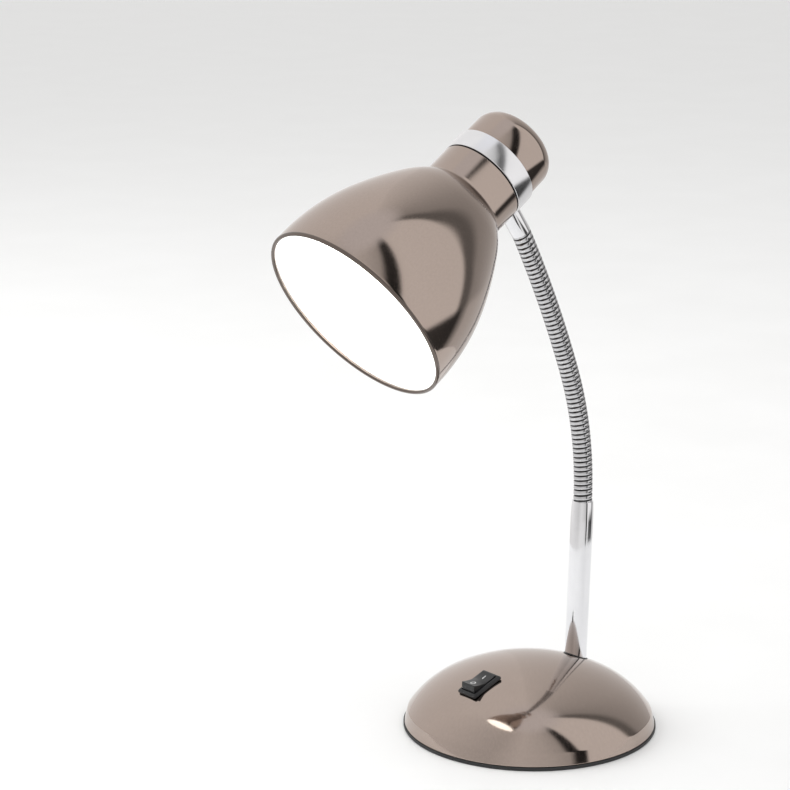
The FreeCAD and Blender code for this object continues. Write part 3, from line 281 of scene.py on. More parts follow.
def ranged(tree, value, low, high):
    """A value from 0 to 1 brought into a range."""
    mapped = tree.nodes.new("ShaderNodeMapRange")
    mapped.inputs["From Min"].default_value = 0.3
    mapped.inputs["From Max"].default_value = 0.7
    mapped.inputs["To Min"].default_value = low
    mapped.inputs["To Max"].default_value = high
    tree.links.new(value, mapped.inputs["Value"])
    return mapped.outputs["Result"]


def bump(tree, shader, height, depth):
    """Raises the surface by depth metres at most."""
    node = tree.nodes.new("ShaderNodeBump")
    node.inputs["Strength"].default_value = 1.0
    node.inputs["Distance"].default_value = depth
    tree.links.new(height, node.inputs["Height"])
    tree.links.new(node.outputs["Normal"], shader.inputs["Normal"])


def tinted(tree, shader, value, dark, light):
    """Colours the surface between two tones."""
    ramp = tree.nodes.new("ShaderNodeValToRGB")
    ramp.color_ramp.elements[0].position = 0.35
    ramp.color_ramp.elements[1].position = 0.65
    ramp.color_ramp.elements[0].color = (*dark, 1)
    ramp.color_ramp.elements[1].color = (*light, 1)
    tree.links.new(value, ramp.inputs["Fac"])
    tree.links.new(ramp.outputs["Color"], shader.inputs["Base Color"])


# %% [markdown]
# The dome and the shade are sheet steel with a dark nickel plate, polished but not quite a mirror:
# the polishing wheel leaves fine lines that run from the crown down to the edge. Lines like that
# need a direction that follows the round shape, so the noise is looked up by the compass angle
# round the axis and hardly changes with height.

# %% Dark nickel
def brushed_down(tree, lines):
    """Streaks that run down a turned piece: fine round the axis, long along it."""
    source = tree.nodes.new("ShaderNodeTexCoord")
    parts = tree.nodes.new("ShaderNodeSeparateXYZ")
    angle = tree.nodes.new("ShaderNodeMath")
    angle.operation = "ARCTAN2"
    joined = tree.nodes.new("ShaderNodeCombineXYZ")
    slow = tree.nodes.new("ShaderNodeMath")
    slow.operation = "MULTIPLY"
    slow.inputs[1].default_value = 9.0
    tree.links.new(source.outputs["Object"], parts.inputs["Vector"])
    tree.links.new(parts.outputs["Y"], angle.inputs[0])
    tree.links.new(parts.outputs["X"], angle.inputs[1])
    tree.links.new(parts.outputs["Z"], slow.inputs[0])
    tree.links.new(angle.outputs["Value"], joined.inputs["X"])
    tree.links.new(slow.outputs["Value"], joined.inputs["Y"])
    return noise(tree, lines, 4.0, vector=joined.outputs["Vector"])


def dark_nickel(name, depth=1.0):
    """The plate's tint times depth: 1 for the open faces, less for a darker copy of the same plate that is
    painted shade.
    """
    tint = Vector((0.42, 0.345, 0.305)) * depth
    material, tree, shader = finish(name, tint, 1.0, 0.08)
    streaks = brushed_down(tree, 60.0)
    cloud = noise(tree, 28.0, 2.0)
    both = tree.nodes.new("ShaderNodeMath")
    both.operation = "MULTIPLY_ADD"
    both.inputs[1].default_value = 0.6
    tree.links.new(streaks, both.inputs[0])
    half = tree.nodes.new("ShaderNodeMath")
    half.operation = "MULTIPLY"
    half.inputs[1].default_value = 0.4
    tree.links.new(cloud, half.inputs[0])
    tree.links.new(half.outputs["Value"], both.inputs[2])
    mixed = both.outputs["Value"]
    tree.links.new(ranged(tree, mixed, 0.06, 0.11), shader.inputs["Roughness"])
    tinted(tree, shader, mixed, tint * 0.965, tint * 1.035)
    bump(tree, shader, streaks, 0.000004)
    return material


nickel = dark_nickel("dark_nickel")
# The rim's copy is the same plate darkened to 0.4 of its tint: painted shade, so the rolled bead reads as a
# dark line round the mouth.
rim_painted_shade_nickel = dark_nickel("rim_painted_shade_nickel", 0.4)
print("dark nickel:", len(nickel.node_tree.nodes), "nodes")

# %% [markdown]
# Stem, gooseneck, ferrule and band are bright chrome, the smoothest finish on the lamp. Even here
# a faint change of roughness keeps the reflections from looking computed.

# %% Bright chrome
def bright_chrome(name, low, high, bright=1.0):
    tint = Vector((0.80, 0.80, 0.82)) * bright
    material, tree, shader = finish(name, tint, 1.0, low)
    cloud = noise(tree, 90.0, 3.0)
    tree.links.new(ranged(tree, cloud, low, high), shader.inputs["Roughness"])
    tinted(tree, shader, cloud, tint * 0.975, tint * 1.025)
    bump(tree, shader, noise(tree, 400.0, 2.0), 0.000001)
    return material


chrome = bright_chrome("bright_chrome", 0.05, 0.09)
band_chrome = bright_chrome("satin_chrome", 0.14, 0.2)
# The gooseneck wears a copy of the bright chrome darkened to 0.72: painted shade over the wound strip.
neck_chrome = bright_chrome("gooseneck_painted_shade_chrome", 0.08, 0.14, 0.72)
groove_chrome = bright_chrome("groove_chrome", 0.3, 0.45, 0.12)

# %% [markdown]
# The inside of the shade is stove enamel, white to throw the light forward. The lamp is switched
# on, and next to the lit bulb the enamel is far brighter than the room. A weak glow of its own
# stands for the light that bounces to and fro between its walls.

# %% White enamel and the lit globe
def white_enamel():
    glow = dict(Coat_Weight=0.3, Emission_Color=(0.93, 0.98, 1.0, 1), Emission_Strength=0.75)
    material, tree, shader = finish("white_enamel", (0.93, 0.94, 0.93), 0.0, 0.3, **glow)
    cloud = noise(tree, 60.0, 3.0)
    tinted(tree, shader, cloud, (0.92, 0.93, 0.92), (0.94, 0.95, 0.94))
    tree.links.new(ranged(tree, cloud, 0.26, 0.34), shader.inputs["Roughness"])
    bump(tree, shader, noise(tree, 220.0, 2.0), 0.00001)
    return material


def lit_globe():
    glow = dict(Emission_Color=(1.0, 0.97, 0.92, 1), Emission_Strength=6.0)
    material, tree, shader = finish("lit_globe", (0.95, 0.95, 0.93), 0.0, 0.35, **glow)
    tree.links.new(ranged(tree, noise(tree, 80.0), 0.3, 0.4), shader.inputs["Roughness"])
    return material


enamel = white_enamel()
globe_glow = lit_globe()

# %% [markdown]
# Moulded and cast parts share one recipe with different numbers: a colour that varies a little, a
# roughness that varies with it, and a grain. The grain is coarse for cast iron and fine for
# plastic, as it is on the real pieces.

# %% Plain finishes
def grained(name, colour, metal, rough, grain, depth, spread=0.1, **sockets):
    material, tree, shader = finish(name, colour, metal, rough, **sockets)
    cloud = noise(tree, grain / 4)
    dark = [channel * (1 - spread) for channel in colour]
    light = [min(1.0, channel * (1 + spread)) for channel in colour]
    tinted(tree, shader, cloud, dark, light)
    tree.links.new(ranged(tree, cloud, rough * 0.85, rough * 1.15), shader.inputs["Roughness"])
    bump(tree, shader, noise(tree, grain), depth)
    return material


switch_black = grained("switch_black", (0.012, 0.012, 0.013), 0.0, 0.32, 900.0, 0.00001)
mark_white = grained("mark_white", (0.86, 0.86, 0.85), 0.0, 0.5, 900.0, 0.000004, 0.03)
finishes = {
    "black_nickel": nickel,
    "chrome": chrome,
    "white_enamel": enamel,
    "rubber_black": grained("pad_rubber", (0.022, 0.022, 0.023), 0.0, 0.6, 700.0, 0.00002),
    "cast_iron": grained("cast_iron", (0.10, 0.10, 0.10), 0.6, 0.6, 260.0, 0.0001, 0.3),
    "steel": grained("zinc_plated", (0.58, 0.58, 0.60), 1.0, 0.3, 500.0, 0.000006),
    "brass": grained("brass", (0.78, 0.60, 0.28), 1.0, 0.25, 400.0, 0.000004),
    "aluminium": grained("satin_aluminium", (0.76, 0.77, 0.78), 1.0, 0.3, 500.0, 0.000005, 0.04),
    "plastic_black": switch_black,
    "plastic_white": grained("white_plastic", (0.85, 0.85, 0.83), 0.0, 0.42, 600.0, 0.00001, 0.03),
    "lead_insulation": grained("lead_sheath", (0.03, 0.03, 0.03), 0.0, 0.5, 500.0, 0.00002),
    "opal_globe": globe_glow,
}
print("finishes:", ", ".join(finishes))

# %% [markdown]
# The CAD nodes that stay in view or inside keep their meshes. Each one only gets the finish of
# its own slot in the record.

# %% Finish the CAD nodes
slot_of = {row["node"]: row["material_slot"] for row in frame["record"]["subparts"]}
for name, node in frame["nodes"].items():
    for holder in node.material_slots:
        holder.material = finishes[slot_of[name]]
print(len(slot_of), "CAD nodes finished")

# %% [markdown]
# ## The base
# The dome is one pressed sheet: a wide shallow crown, a rounder shoulder, a crease, and a short
# skirt that flares a little to the pad. The crease is a real line on the lamp, so the outline
# has a corner there with only a tiny rounding. The lower edge is rolled in over the plate.

# %% Dome
SHELL_WALL = 1.0
dome_line = outline(
    (0, 39.5, 107.2, 1), (50, 27.125, 56.315, 1), (70.15, 9.2), (72, 2.3), (71.6, 2.02), (71.2, 2.02)
)
dome_outline = softened(walled(dome_line, SHELL_WALL), 0.35, closed=False)
dome = turned_piece("base_dome", dome_outline, base_place, 256, closed=False)
wears(dome, "base", "black_nickel", nickel, "base_shell")

# %% [markdown]
# The stem is a tube that keeps its width for most of its length and draws in gently at its mouth,
# where the gooseneck comes out. A dark ring seals it where it goes through the dome.

# %% Stem
STEM_LENGTH = 114.0
stem_line = outline(
    (5.05, 0), (6.35, 0), (6.5, STEM_LENGTH - 12), (6.48, STEM_LENGTH - 10), (6.38, STEM_LENGTH - 6),
    (6.2, STEM_LENGTH - 2.5), (6.0, STEM_LENGTH), (5.05, STEM_LENGTH),
)
stem = turned_piece("stem_tube", softened(stem_line, 0.3), stem_place, 96)
wears(stem, "base", "chrome", chrome, "stem")

# %% [markdown]
# The cord would come in through a small bush at the back. It is turned with soft edges.

# %% Inlet bush
bush_line = outline(
    (2.4, 0), (3.8, 0), (3.8, 1.2), (3.2, 1.2), (3.2, 4.8), (3.8, 4.8), (3.8, 6.0), (3.4, 6.6), (2.4, 6.6)
)
bush = turned_piece("inlet_bush", softened(bush_line, 0.25), inlet_place, 64)
wears(bush, "base", "plastic_black", switch_black, "cord_inlet_bush")

# %% [markdown]
# ## The gooseneck
# A real gooseneck is a steel strip wound into a tube, so its grooves are one long spiral and not
# separate rings. The skin is made the same way: the closed section of one turn of strip, carried
# along a spiral round a centre line. It is cut into a piece for each joint. Each piece reaches
# from the middle of one link to the middle of the next, so the neck is one smooth curve with no
# gap at the joints.
#
# The centre line is a chain of curves with the pivots as their control points, which makes every
# piece leave the last one in the same direction.

# %% Centre line
TURN = 2.85  # width of one turn of the strip
LINK_TURNS = 4
links = len(pivots) - 1
down_stem = (stem_top.to_3x3() @ Vector((0, 0, -1))) * (TURN * (LINK_TURNS / 2 - 1))
up_ferrule = (ferrule_place.to_3x3() @ Vector((0, 0, 1))) * (TURN * (LINK_TURNS / 2 - 1))
middles = [pivots[0] + down_stem]
middles += [(pivots[number] + pivots[number + 1]) / 2 for number in range(links)]
middles.append(pivots[-1] + up_ferrule)
turns = [LINK_TURNS - 1] + [LINK_TURNS] * (links - 1) + [LINK_TURNS - 1]
first_turn = [sum(turns[:number]) for number in range(len(turns))]


def neck_point(turn):
    """The centre line's point and direction at a count of turns from the stem."""
    number = 0
    while number < len(turns) - 1 and turn > first_turn[number] + turns[number]:
        number += 1
    t = (turn - first_turn[number]) / turns[number]
    start, middle, end = middles[number], pivots[number], middles[number + 1]
    point = start * (1 - t) ** 2 + middle * 2 * t * (1 - t) + end * t * t
    way = (middle - start) * (1 - t) + (end - middle) * t
    return point, way.normalized()


print(sum(turns), "turns in the gooseneck")

# %% [markdown]
# The section of the strip is flat on top with rounded shoulders, and neighbouring turns overlap a
# little at the bottom of the groove, as the hooked edges of the real strip do. Little light gets
# into the grooves, so their flanks wear a darker chrome than the ribs.

# %% Wound strip
STRIP = (
    (-0.03, 4.72), (0.06, 4.95), (0.10, 5.22), (0.17, 5.38), (0.28, 5.44), (0.5, 5.46),
    (0.72, 5.44), (0.83, 5.38), (0.90, 5.22), (0.94, 4.95), (1.03, 4.72), (1.0, 4.4), (0.0, 4.4),
)
AROUND = 56
GROOVE_RADIUS = 5.3


def wound_piece(name, start_turn, count, section, width=1.0):
    """A closed section carried along a spiral from one turn to a later one."""
    corners, faces = [], []
    stations = round(count * AROUND)
    for station in range(stations + 1):
        turn = start_turn + count * station / stations
        angle = 2 * math.pi * turn
        for along, radius in section:
            centre, way = neck_point(turn + (along - 0.5) * width)
            side = Vector((1, 0, 0))
            front = way.cross(side)
            corners.append(centre + (side * math.cos(angle) + front * math.sin(angle)) * radius)
    size = len(section)
    for station in range(stations):
        low, high = station * size, (station + 1) * size
        for edge in range(size):
            after = (edge + 1) % size
            faces.append((low + edge, low + after, high + after, high + edge))
    faces.append(tuple(range(size)))
    faces.append(tuple(range(len(corners) - size, len(corners))))
    skin = mesh_piece(name, corners, faces, sharp=60)
    skin.data.materials.append(neck_chrome)
    skin.data.materials.append(groove_chrome)
    for face in skin.data.polygons:
        edge = face.index % size
        deepest = min(section[edge][1], section[(edge + 1) % size][1])
        face.material_index = 1 if deepest < GROOVE_RADIUS else 0
    return skin


# %% Wind the skin
for number, count in enumerate(turns):
    skin = wound_piece(f"gooseneck_{number:02d}", first_turn[number], count, STRIP)
    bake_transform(skin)
    if number:
        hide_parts(f"neck_link_{number:02d}")
print(len(turns), "pieces of skin")

# %% [markdown]
# The two-core lead runs up the middle. It is cut into pieces along the same centre line as the
# skin, so it stays inside the skin.

# %% Lead in the gooseneck
LEAD_RADIUS = 2.1
LEAD_SIDES = 20
LEAD_STEPS = 8


def lead_piece(name, number):
    corners, faces = [], []
    for step in range(LEAD_STEPS + 1):
        centre, way = neck_point(first_turn[number] + turns[number] * step / LEAD_STEPS)
        side = Vector((1, 0, 0))
        front = way.cross(side)
        for sector in range(LEAD_SIDES):
            angle = 2 * math.pi * sector / LEAD_SIDES
            out = side * math.cos(angle) + front * math.sin(angle)
            corners.append(centre + out * LEAD_RADIUS)
    for step in range(LEAD_STEPS):
        low, high = step * LEAD_SIDES, (step + 1) * LEAD_SIDES
        for sector in range(LEAD_SIDES):
            after = (sector + 1) % LEAD_SIDES
            faces.append((low + sector, low + after, high + after, high + sector))
    faces.append(tuple(range(LEAD_SIDES)))
    faces.append(tuple(range(len(corners) - LEAD_SIDES, len(corners))))
    return mesh_piece(name, corners, faces)


for number in range(len(turns)):
    inner = lead_piece(f"inner_lead_{number:02d}", number)
    inner.data.materials.append(finishes["lead_insulation"])
    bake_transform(inner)
    if number == 0:
        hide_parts("neck_lead")

# %% [markdown]
# ## The head
# The bell is spun from one sheet. Its outline is three arcs that get tighter towards the neck, a
# small hollow shoulder, and the straight neck that slides over the lampholder's core. The mouth
# is rolled outwards into a bead, which shows as the thin dark line round the bright inside.

# %% Shade
BEAD_RADIUS = 1.2
RIM_RADIUS = 56.6
SHADE_WALL = 0.8
bell_line = outline(
    (25.2, 107.4), (25.2, 91.2), (25.5, 89.4), (26.2, 88.6),
    (26.9, 88, 62, 1), (36, 75.7, 200, 1), (48.06, 50.4, 121, 1), (56.4, BEAD_RADIUS),
)
bell_outline = softened(walled(bell_line, SHADE_WALL), 0.3)
shade = turned_piece("shade_bell", bell_outline, head_place, 256)
wears(shade, "head", "black_nickel", nickel, "shade")

# %% [markdown]
# The bead is a ring of its own, pressed against the edge of the sheet. A ring of circles is the
# simplest closed tube there is, and it needs no modifier.

# %% Rolled rim
BEAD_SIDES = 20
bead_line = []
for sector in range(BEAD_SIDES):
    angle = 2 * math.pi * sector / BEAD_SIDES
    across = RIM_RADIUS - BEAD_RADIUS + BEAD_RADIUS * math.cos(angle)
    bead_line.append(Vector((across, BEAD_RADIUS + BEAD_RADIUS * math.sin(angle))))
bead = turned_piece("shade_bead", bead_line, head_place, 256)
# The bead wears the darkened copy of the nickel, painted shade for the dark line round the mouth.
wears(bead, "head", "black_nickel", rim_painted_shade_nickel)

# %% [markdown]
# The enamel is a coat on the inside of the bell, so it is a thin skin of its own that follows the
# inner face of the sheet from the bead up to the shoulder.

# %% Enamel lining
ENAMEL = 0.15
lining_line = [
    Vector((point.x - 0.02, point.y)) for point in walled(bell_line, SHADE_WALL)[len(bell_line):]
    if 2.2 < point.y < 86
]
lining = turned_piece("shade_enamel", walled(lining_line[::-1], ENAMEL), head_place, 256)
wears(lining, "head", "white_enamel", enamel)

# %% [markdown]
# The band is a plain ring a little wider than the neck, with its edges broken. The cap is drawn
# from the same sheet as the shade, with a large soft corner and a faintly domed end.

# %% Band and cap
band_line = outline((24.4, 108.2), (25.5, 108.2), (25.5, 120.3), (24.4, 120.3))
band = turned_piece("bright_band", softened(band_line, 0.35), head_place, 192)
wears(band, "head", "chrome", band_chrome, "chrome_band")

CAP_FOOT = 120.4
cap_line = outline((0, 144.4, 120, 1), (13.6, 143.5, 10.6, 1), (24.2, 133.4), (24.2, CAP_FOOT))
cap_outline = softened(walled(cap_line, SHADE_WALL), 0.3, closed=False)
cap = turned_piece("end_cap", cap_outline, head_place, 192, closed=False)
wears(cap, "head", "black_nickel", nickel, "head_cap")

# %% [markdown]
# The ferrule is the short bright neck between the gooseneck and the band. Its top is cut to the
# band's curve on the real lamp; here it simply runs a little way into the band.

# %% Ferrule
ferrule_line = outline(
    (2.7, 3.4), (3.5, 2.6), (4.31, 0.55), (5.6, 0.55), (5.6, 17.0), (4.0, 17.0), (4.0, 25.8), (2.7, 25.8)
)
ferrule = turned_piece("ferrule_tube", softened(ferrule_line, 0.3), ferrule_place, 72)
wears(ferrule, "head", "chrome", chrome, "ferrule")

# %% [markdown]
# ## The bulb
# The globe glows evenly, so only its round form counts. Its white housing narrows in a soft curve
# to the screw cap, which sits hidden in the lampholder.

# %% Globe and housing
globe_line = outline(
    (0, 33.1, 22.5, -1), (19.5, 66.8), (18.5, 66.8, 21.5, 1), (0, 34.1)
)
globe = turned_piece("bulb_globe_shell", globe_line, head_place, 128, closed=False)
wears(globe, "bulb", "opal_globe", globe_glow, "bulb_globe")

housing_line = outline((0, 66.8), (19.5, 66.8), (19.5, 68.2), (18.9, 70.4), (14.1, 81.8), (0, 81.8))
housing = turned_piece("bulb_collar", softened(housing_line, 0.6, closed=False), head_place, 96, closed=False)
wears(housing, "bulb", "plastic_white", finishes["plastic_white"], "bulb_housing")

# %% [markdown]
# ## The switch
# The rocker switch is a snap-in kind. Its bezel stands on the dome with a bevel all round, and the
# rocker tilts in a deep well. Both are made of rounded rectangles stacked into a closed skin: the
# stack runs up the outside, over the bevel, down into the well and shuts with its floor.

# %% Stacks of rounded rectangles
def rounded_rectangle(half_width, half_length, radius, height, steps=5):
    corners = []
    for quadrant, (across, along) in enumerate(((1, 1), (-1, 1), (-1, -1), (1, -1))):
        for step in range(steps + 1):
            angle = math.pi / 2 * (quadrant + step / steps)
            x = across * (half_width - radius) + radius * math.cos(angle)
            y = along * (half_length - radius) + radius * math.sin(angle)
            corners.append((x, y, height))
    return corners


def stacked_piece(name, layers, where):
    """A closed piece from (half width, half length, corner radius, height) layers."""
    corners, faces = [], []
    for layer in layers:
        corners += rounded_rectangle(*layer)
    size = len(corners) // len(layers)
    for level in range(len(layers) - 1):
        low, high = level * size, (level + 1) * size
        for edge in range(size):
            after = (edge + 1) % size
            faces.append((low + edge, low + after, high + after, high + edge))
    faces.append(tuple(range(size)))
    faces.append(tuple(range(len(corners) - size, len(corners))))
    return mesh_piece(name, corners, faces, where, sharp=30)


# %% Switch housing
housing_layers = (
    (6.3, 9.75, 0.4, -11), (6.3, 9.75, 0.4, 0), (7.3, 10.65, 0.9, 0), (7.35, 10.7, 0.95, 0.05),
    (7.35, 10.7, 0.95, 1.0), (7.3, 10.65, 0.9, 1.1), (6.45, 9.8, 0.6, 1.93), (6.3, 9.65, 0.55, 2.0),
    (5.6, 9.15, 0.4, 2.0), (5.5, 9.05, 0.35, 1.9), (5.5, 9.05, 0.35, -6.1),
)
bezel = stacked_piece("switch_bezel", housing_layers, switch_place)
wears(bezel, "base", "plastic_black", switch_black, "switch_housing")

# %% [markdown]
# The rocker's side view is an arc at each end and one shallow dish on top. That outline is carried
# across the rocker's width, with its two side edges drawn in a little so they catch the light. At
# rest the end with the ring mark is up.

# %% Rocker
ROCKER_RADIUS = 8.75
ROCKER_TOP = 3.6
DISH = 1.5
ROCKER_TILT = 11.0
PIVOT_HEIGHT = 0.9
top_half = math.sqrt(ROCKER_RADIUS ** 2 - ROCKER_TOP ** 2)
heel_half = math.sqrt(ROCKER_RADIUS ** 2 - 1.9 ** 2)
dish_radius = (top_half ** 2 + DISH ** 2) / (2 * DISH)
rocker_place = switch_place @ Matrix.Translation((0, 0, PIVOT_HEIGHT * MM))
rocker_place = rocker_place @ Matrix.Rotation(math.radians(-ROCKER_TILT), 4, "X")
STEP = 0.5
rocker_line = outline(
    (-4.6, -3.2), (-heel_half, -1.9, ROCKER_RADIUS, 1), (-top_half, ROCKER_TOP, dish_radius, -1),
    (top_half, ROCKER_TOP, ROCKER_RADIUS, 1), (heel_half, -1.9), (4.6, -3.2),
)
rocker_line = softened(rocker_line, 0.45)
middle_of_line = sum(rocker_line, Vector((0, 0))) / len(rocker_line)
slices = ((-5.2, 0.35), (-5.13, 0.13), (-4.95, 0.0), (4.95, 0.0), (5.13, 0.13), (5.2, 0.35))
corners, faces = [], []
for across, drawn_in in slices:
    for point in rocker_line:
        inward = (middle_of_line - point).normalized() * drawn_in
        corners.append((across, point.x + inward.x, point.y + inward.y))
size = len(rocker_line)
for level in range(len(slices) - 1):
    low, high = level * size, (level + 1) * size
    for edge in range(size):
        after = (edge + 1) % size
        faces.append((low + edge, low + after, high + after, high + edge))
faces.append(tuple(range(size)))
faces.append(tuple(range(len(corners) - size, len(corners))))
rocker = mesh_piece("rocker_key", corners, faces, rocker_place, sharp=35)
wears(rocker, "rocker", "plastic_black", switch_black, "switch_rocker")

# %% [markdown]
# The two marks are printed on the rocker: a ring on the raised end and a bar on the lowered one.
# Print has next to no thickness, but real geometry survives an export, so each mark is a thin
# raised strip that follows the dish.

# %% Switch marks
MARK_HEIGHT = 0.06


def on_dish(x, y):
    """A point of the rocker's dished top, and the same point raised by the mark's height."""
    sag = math.sqrt(dish_radius ** 2 - y ** 2)
    top = ROCKER_TOP + (dish_radius - DISH) - sag
    return (x, y, top - 0.05), (x, y, top + MARK_HEIGHT)


def mark_piece(name, inner, outer, closed):
    """A raised strip between two lines of (x, y) points."""
    corners, faces = [], []
    for near, far in zip(inner, outer):
        low_near, high_near = on_dish(*near)
        low_far, high_far = on_dish(*far)
        corners += [low_near, high_near, high_far, low_far]
    count = len(inner)
    for step in range(count if closed else count - 1):
        low, high = step * 4, (step + 1) % count * 4
        for edge in range(4):
            after = (edge + 1) % 4
            faces.append((low + edge, low + after, high + after, high + edge))
    if not closed:
        faces += [(0, 1, 2, 3), tuple(range(len(corners) - 4, len(corners)))]
    piece = mesh_piece(name, corners, faces, rocker_place)
    return wears(piece, "rocker", "plastic_white", mark_white)


RING_Y = -4.3
BAR_Y = 3.9
circle = [2 * math.pi * step / 40 for step in range(40)]
mark_piece(
    "mark_ring",
    [(1.0 * math.cos(angle), RING_Y + 1.3 * math.sin(angle)) for angle in circle],
    [(1.4 * math.cos(angle), RING_Y + 1.7 * math.sin(angle)) for angle in circle],
    closed=True,
)
bar_ys = [BAR_Y + 0.3 * step for step in range(-5, 6)]
mark_piece("mark_bar", [(-0.2, y) for y in bar_ys], [(0.2, y) for y in bar_ys], closed=False)
STEP = 1.6

# %% [markdown]
# ## Floor, light and camera
# The lamp stands on a plain pale floor in soft light. Polished metal only shows what is round it,
# so the light matters as much as the metal: one big soft light from the left gives the broad
# bright side, the pale room gives the rest, and dark panels out of view give the metal its depth.

# %% Floor
def flat_ring(name, inner, outer, sides=96):
    """A flat ring on the floor, or a disc where inner is 0."""
    corners, faces = [], []
    for step in range(sides):
        angle = 2 * math.pi * step / sides
        for radius in (inner, outer):
            corners.append((radius * math.cos(angle), radius * math.sin(angle), 0))
    for step in range(sides):
        near, after = 2 * step, 2 * ((step + 1) % sides)
        faces.append((near, near + 1, after + 1, after))
    if inner == 0:
        faces = [tuple(2 * step + 1 for step in range(sides))]
    return mesh_piece(name, corners, faces)


TABLE_RADIUS = 360
floor_paint = grained("pale_floor", (0.9, 0.9, 0.895), 0.0, 0.5, 40.0, 0.0001, 0.01)
table = flat_ring("table", 0, TABLE_RADIUS)
surround = flat_ring("surround", TABLE_RADIUS, 12000)
surround.visible_glossy = False
for part in (table, surround):
    part.data.materials.append(floor_paint)

# %% Soft lights
def soft_light(name, spot, aim, width, height, power):
    """A rectangular soft light that points from one place at another. It isn't mirrored."""
    lamp = bpy.data.lights.new(name, "AREA")
    lamp.shape = "RECTANGLE"
    lamp.size, lamp.size_y = width, height
    lamp.energy = power
    holder = bpy.data.objects.new(name, lamp)
    bpy.context.scene.collection.objects.link(holder)
    holder.location = spot
    holder.rotation_euler = (Vector(aim) - Vector(spot)).to_track_quat("-Z", "Y").to_euler()
    holder.visible_glossy = False
    return holder


soft_light("left_softbox", (-1.3, -0.7, 1.3), (0, 0, 0.1), 1.2, 1.2, 12)
soft_light("top_softbox", (0.1, 0.2, 1.9), (0, 0, 0.1), 1.6, 1.6, 8)

# %% [markdown]
# What the metal mirrors is a second matter. A product photographer hangs white panels round the
# lamp and leaves dark gaps between them, and those gaps draw the crisp dark lines down the neck,
# the gooseneck and the stem. Here the panels are painted into the surrounding sphere: brightness
# by compass direction, and a brighter ceiling. Angles are counted to the right of the camera.

# %% Panels in the room
AZIMUTH = math.radians(50.35)
PANELS = (  # degrees to the right of the camera, brightness
    (-180, 0.95), (-120, 0.95), (-75, 0.8), (-40, 0.7), (-12, 0.85), (15, 0.75), (34, 0.6),
    (40, 0.03), (49, 0.02), (52, 1.0), (102, 1.0), (106, 0.2), (112, 0.2), (118, 0.45), (180, 0.9),
)
BELOW = (  # the same, under the edge of the table
    (-180, 0.8), (-60, 0.9), (20, 0.9), (36, 0.7), (41, 0.02), (49, 0.02), (53, 0.9), (62, 0.85),
    (68, 0.08), (108, 0.05), (120, 0.7), (180, 0.8),
)
world = bpy.data.worlds.new("room_of_panels")
bpy.context.scene.world = world
world.use_nodes = True
room = world.node_tree


def room_math(operation, first, second=None):
    node = room.nodes.new("ShaderNodeMath")
    node.operation = operation
    for socket, value in zip(node.inputs, (first, second)):
        if isinstance(value, (int, float)):
            socket.default_value = value
        elif value is not None:
            room.links.new(value, socket)
    return node.outputs["Value"]


direction = room.nodes.new("ShaderNodeTexCoord")
split = room.nodes.new("ShaderNodeSeparateXYZ")
room.links.new(direction.outputs["Generated"], split.inputs["Vector"])
facing = room_math("MULTIPLY", split.outputs["Y"], -1.0)
compass = room_math("ARCTAN2", split.outputs["X"], facing)
from_camera = room_math("SUBTRACT", compass, AZIMUTH)
wrapped = room_math("WRAP", from_camera, math.pi)
room.nodes[-1].inputs[2].default_value = -math.pi
share = room_math("ADD", room_math("DIVIDE", wrapped, 2 * math.pi), 0.5)


def ring_of(levels):
    """Brightness by compass direction."""
    ring = room.nodes.new("ShaderNodeValToRGB")
    room.links.new(share, ring.inputs["Fac"])
    stops = ring.color_ramp.elements
    stops.remove(stops[-1])
    for number, (angle, level) in enumerate(levels):
        position = angle / 360 + 0.5
        stop = stops[0] if number == 0 else stops.new(position)
        stop.position = position
        stop.color = (level, level * 0.985, level * 0.97, 1)
    return ring.outputs["Color"]


def by_height(low, high, start, end):
    """One colour below a height and another above it, on a sphere of radius 1."""
    step = room.nodes.new("ShaderNodeMapRange")
    step.interpolation_type = "SMOOTHSTEP"
    step.inputs["From Min"].default_value = start
    step.inputs["From Max"].default_value = end
    room.links.new(split.outputs["Z"], step.inputs["Value"])
    mix = room.nodes.new("ShaderNodeMix")
    mix.data_type = "RGBA"
    room.links.new(step.outputs["Result"], mix.inputs["Factor"])
    for socket, colour in (("A", low), ("B", high)):
        if isinstance(colour, tuple):
            mix.inputs[socket].default_value = colour
        else:
            room.links.new(colour, mix.inputs[socket])
    return mix.outputs["Result"]


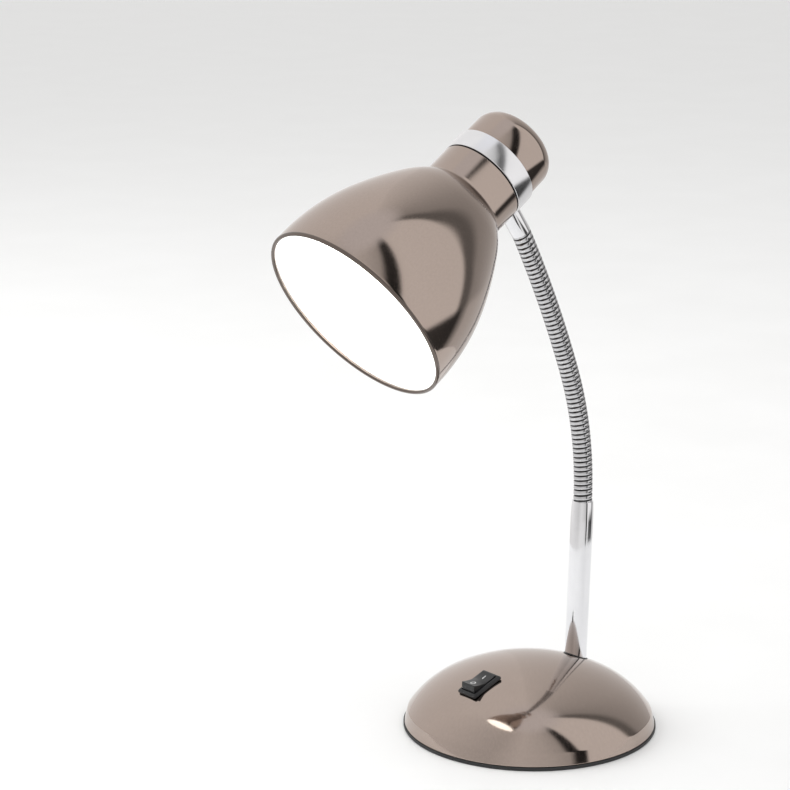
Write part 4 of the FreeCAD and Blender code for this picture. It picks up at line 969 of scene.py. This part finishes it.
walls = by_height(ring_of(BELOW), ring_of(PANELS), -0.28, -0.2)
panels = by_height(walls, (0.9, 0.9, 0.92, 1), 0.93, 0.99)

# %% [markdown]
# Only mirrored rays see the panels. The floor and the plastic parts are lit by an even pale room,
# and the camera sees the same pale room behind the floor.

# %% Even room light
rays = room.nodes.new("ShaderNodeLightPath")
choice = room.nodes.new("ShaderNodeMix")
choice.data_type = "RGBA"
room.links.new(rays.outputs["Is Glossy Ray"], choice.inputs["Factor"])
choice.inputs["A"].default_value = (0.8, 0.8, 0.8, 1)
room.links.new(panels, choice.inputs["B"])
sky = room.nodes["Background"]
sky.inputs["Strength"].default_value = 1.0
room.links.new(choice.outputs["Result"], sky.inputs["Color"])

# %% [markdown]
# The camera stands where the photographer's did: to the right of the lamp's front, a little above
# it, with a long lens. Its own axes are worked out from the two angles. Colours are shown as they
# are, without a film curve.

# %% Camera
ELEVATION = math.radians(13.87)
ROLL = math.radians(-0.17)
DISTANCE = 1.409
LENS_PIXELS = 2523.6
FRAME_PIXELS = 790
away = Vector((
    math.sin(AZIMUTH) * math.cos(ELEVATION),
    -math.cos(AZIMUTH) * math.cos(ELEVATION),
    math.sin(ELEVATION),
))
level = Vector((math.cos(AZIMUTH), math.sin(AZIMUTH), 0))
upright = away.cross(level)
target = level * -0.0768 + Vector((0, 0, 0.1953))
right = level * math.cos(ROLL) + upright * math.sin(ROLL)
up = upright * math.cos(ROLL) - level * math.sin(ROLL)
camera_data = bpy.data.cameras.new("camera")
camera_data.sensor_width = 36
camera_data.lens = LENS_PIXELS / FRAME_PIXELS * camera_data.sensor_width
camera = bpy.data.objects.new("camera", camera_data)
bpy.context.scene.collection.objects.link(camera)
camera.matrix_world = Matrix.Translation(target + away * DISTANCE) @ Matrix(
    (
        (right.x, up.x, away.x, 0),
        (right.y, up.y, away.y, 0),
        (right.z, up.z, away.z, 0),
        (0, 0, 0, 1),
    )
)
bpy.context.scene.camera = camera
bpy.context.scene.view_settings.view_transform = "Standard"
print("camera at", [round(value, 3) for value in camera.matrix_world.translation])
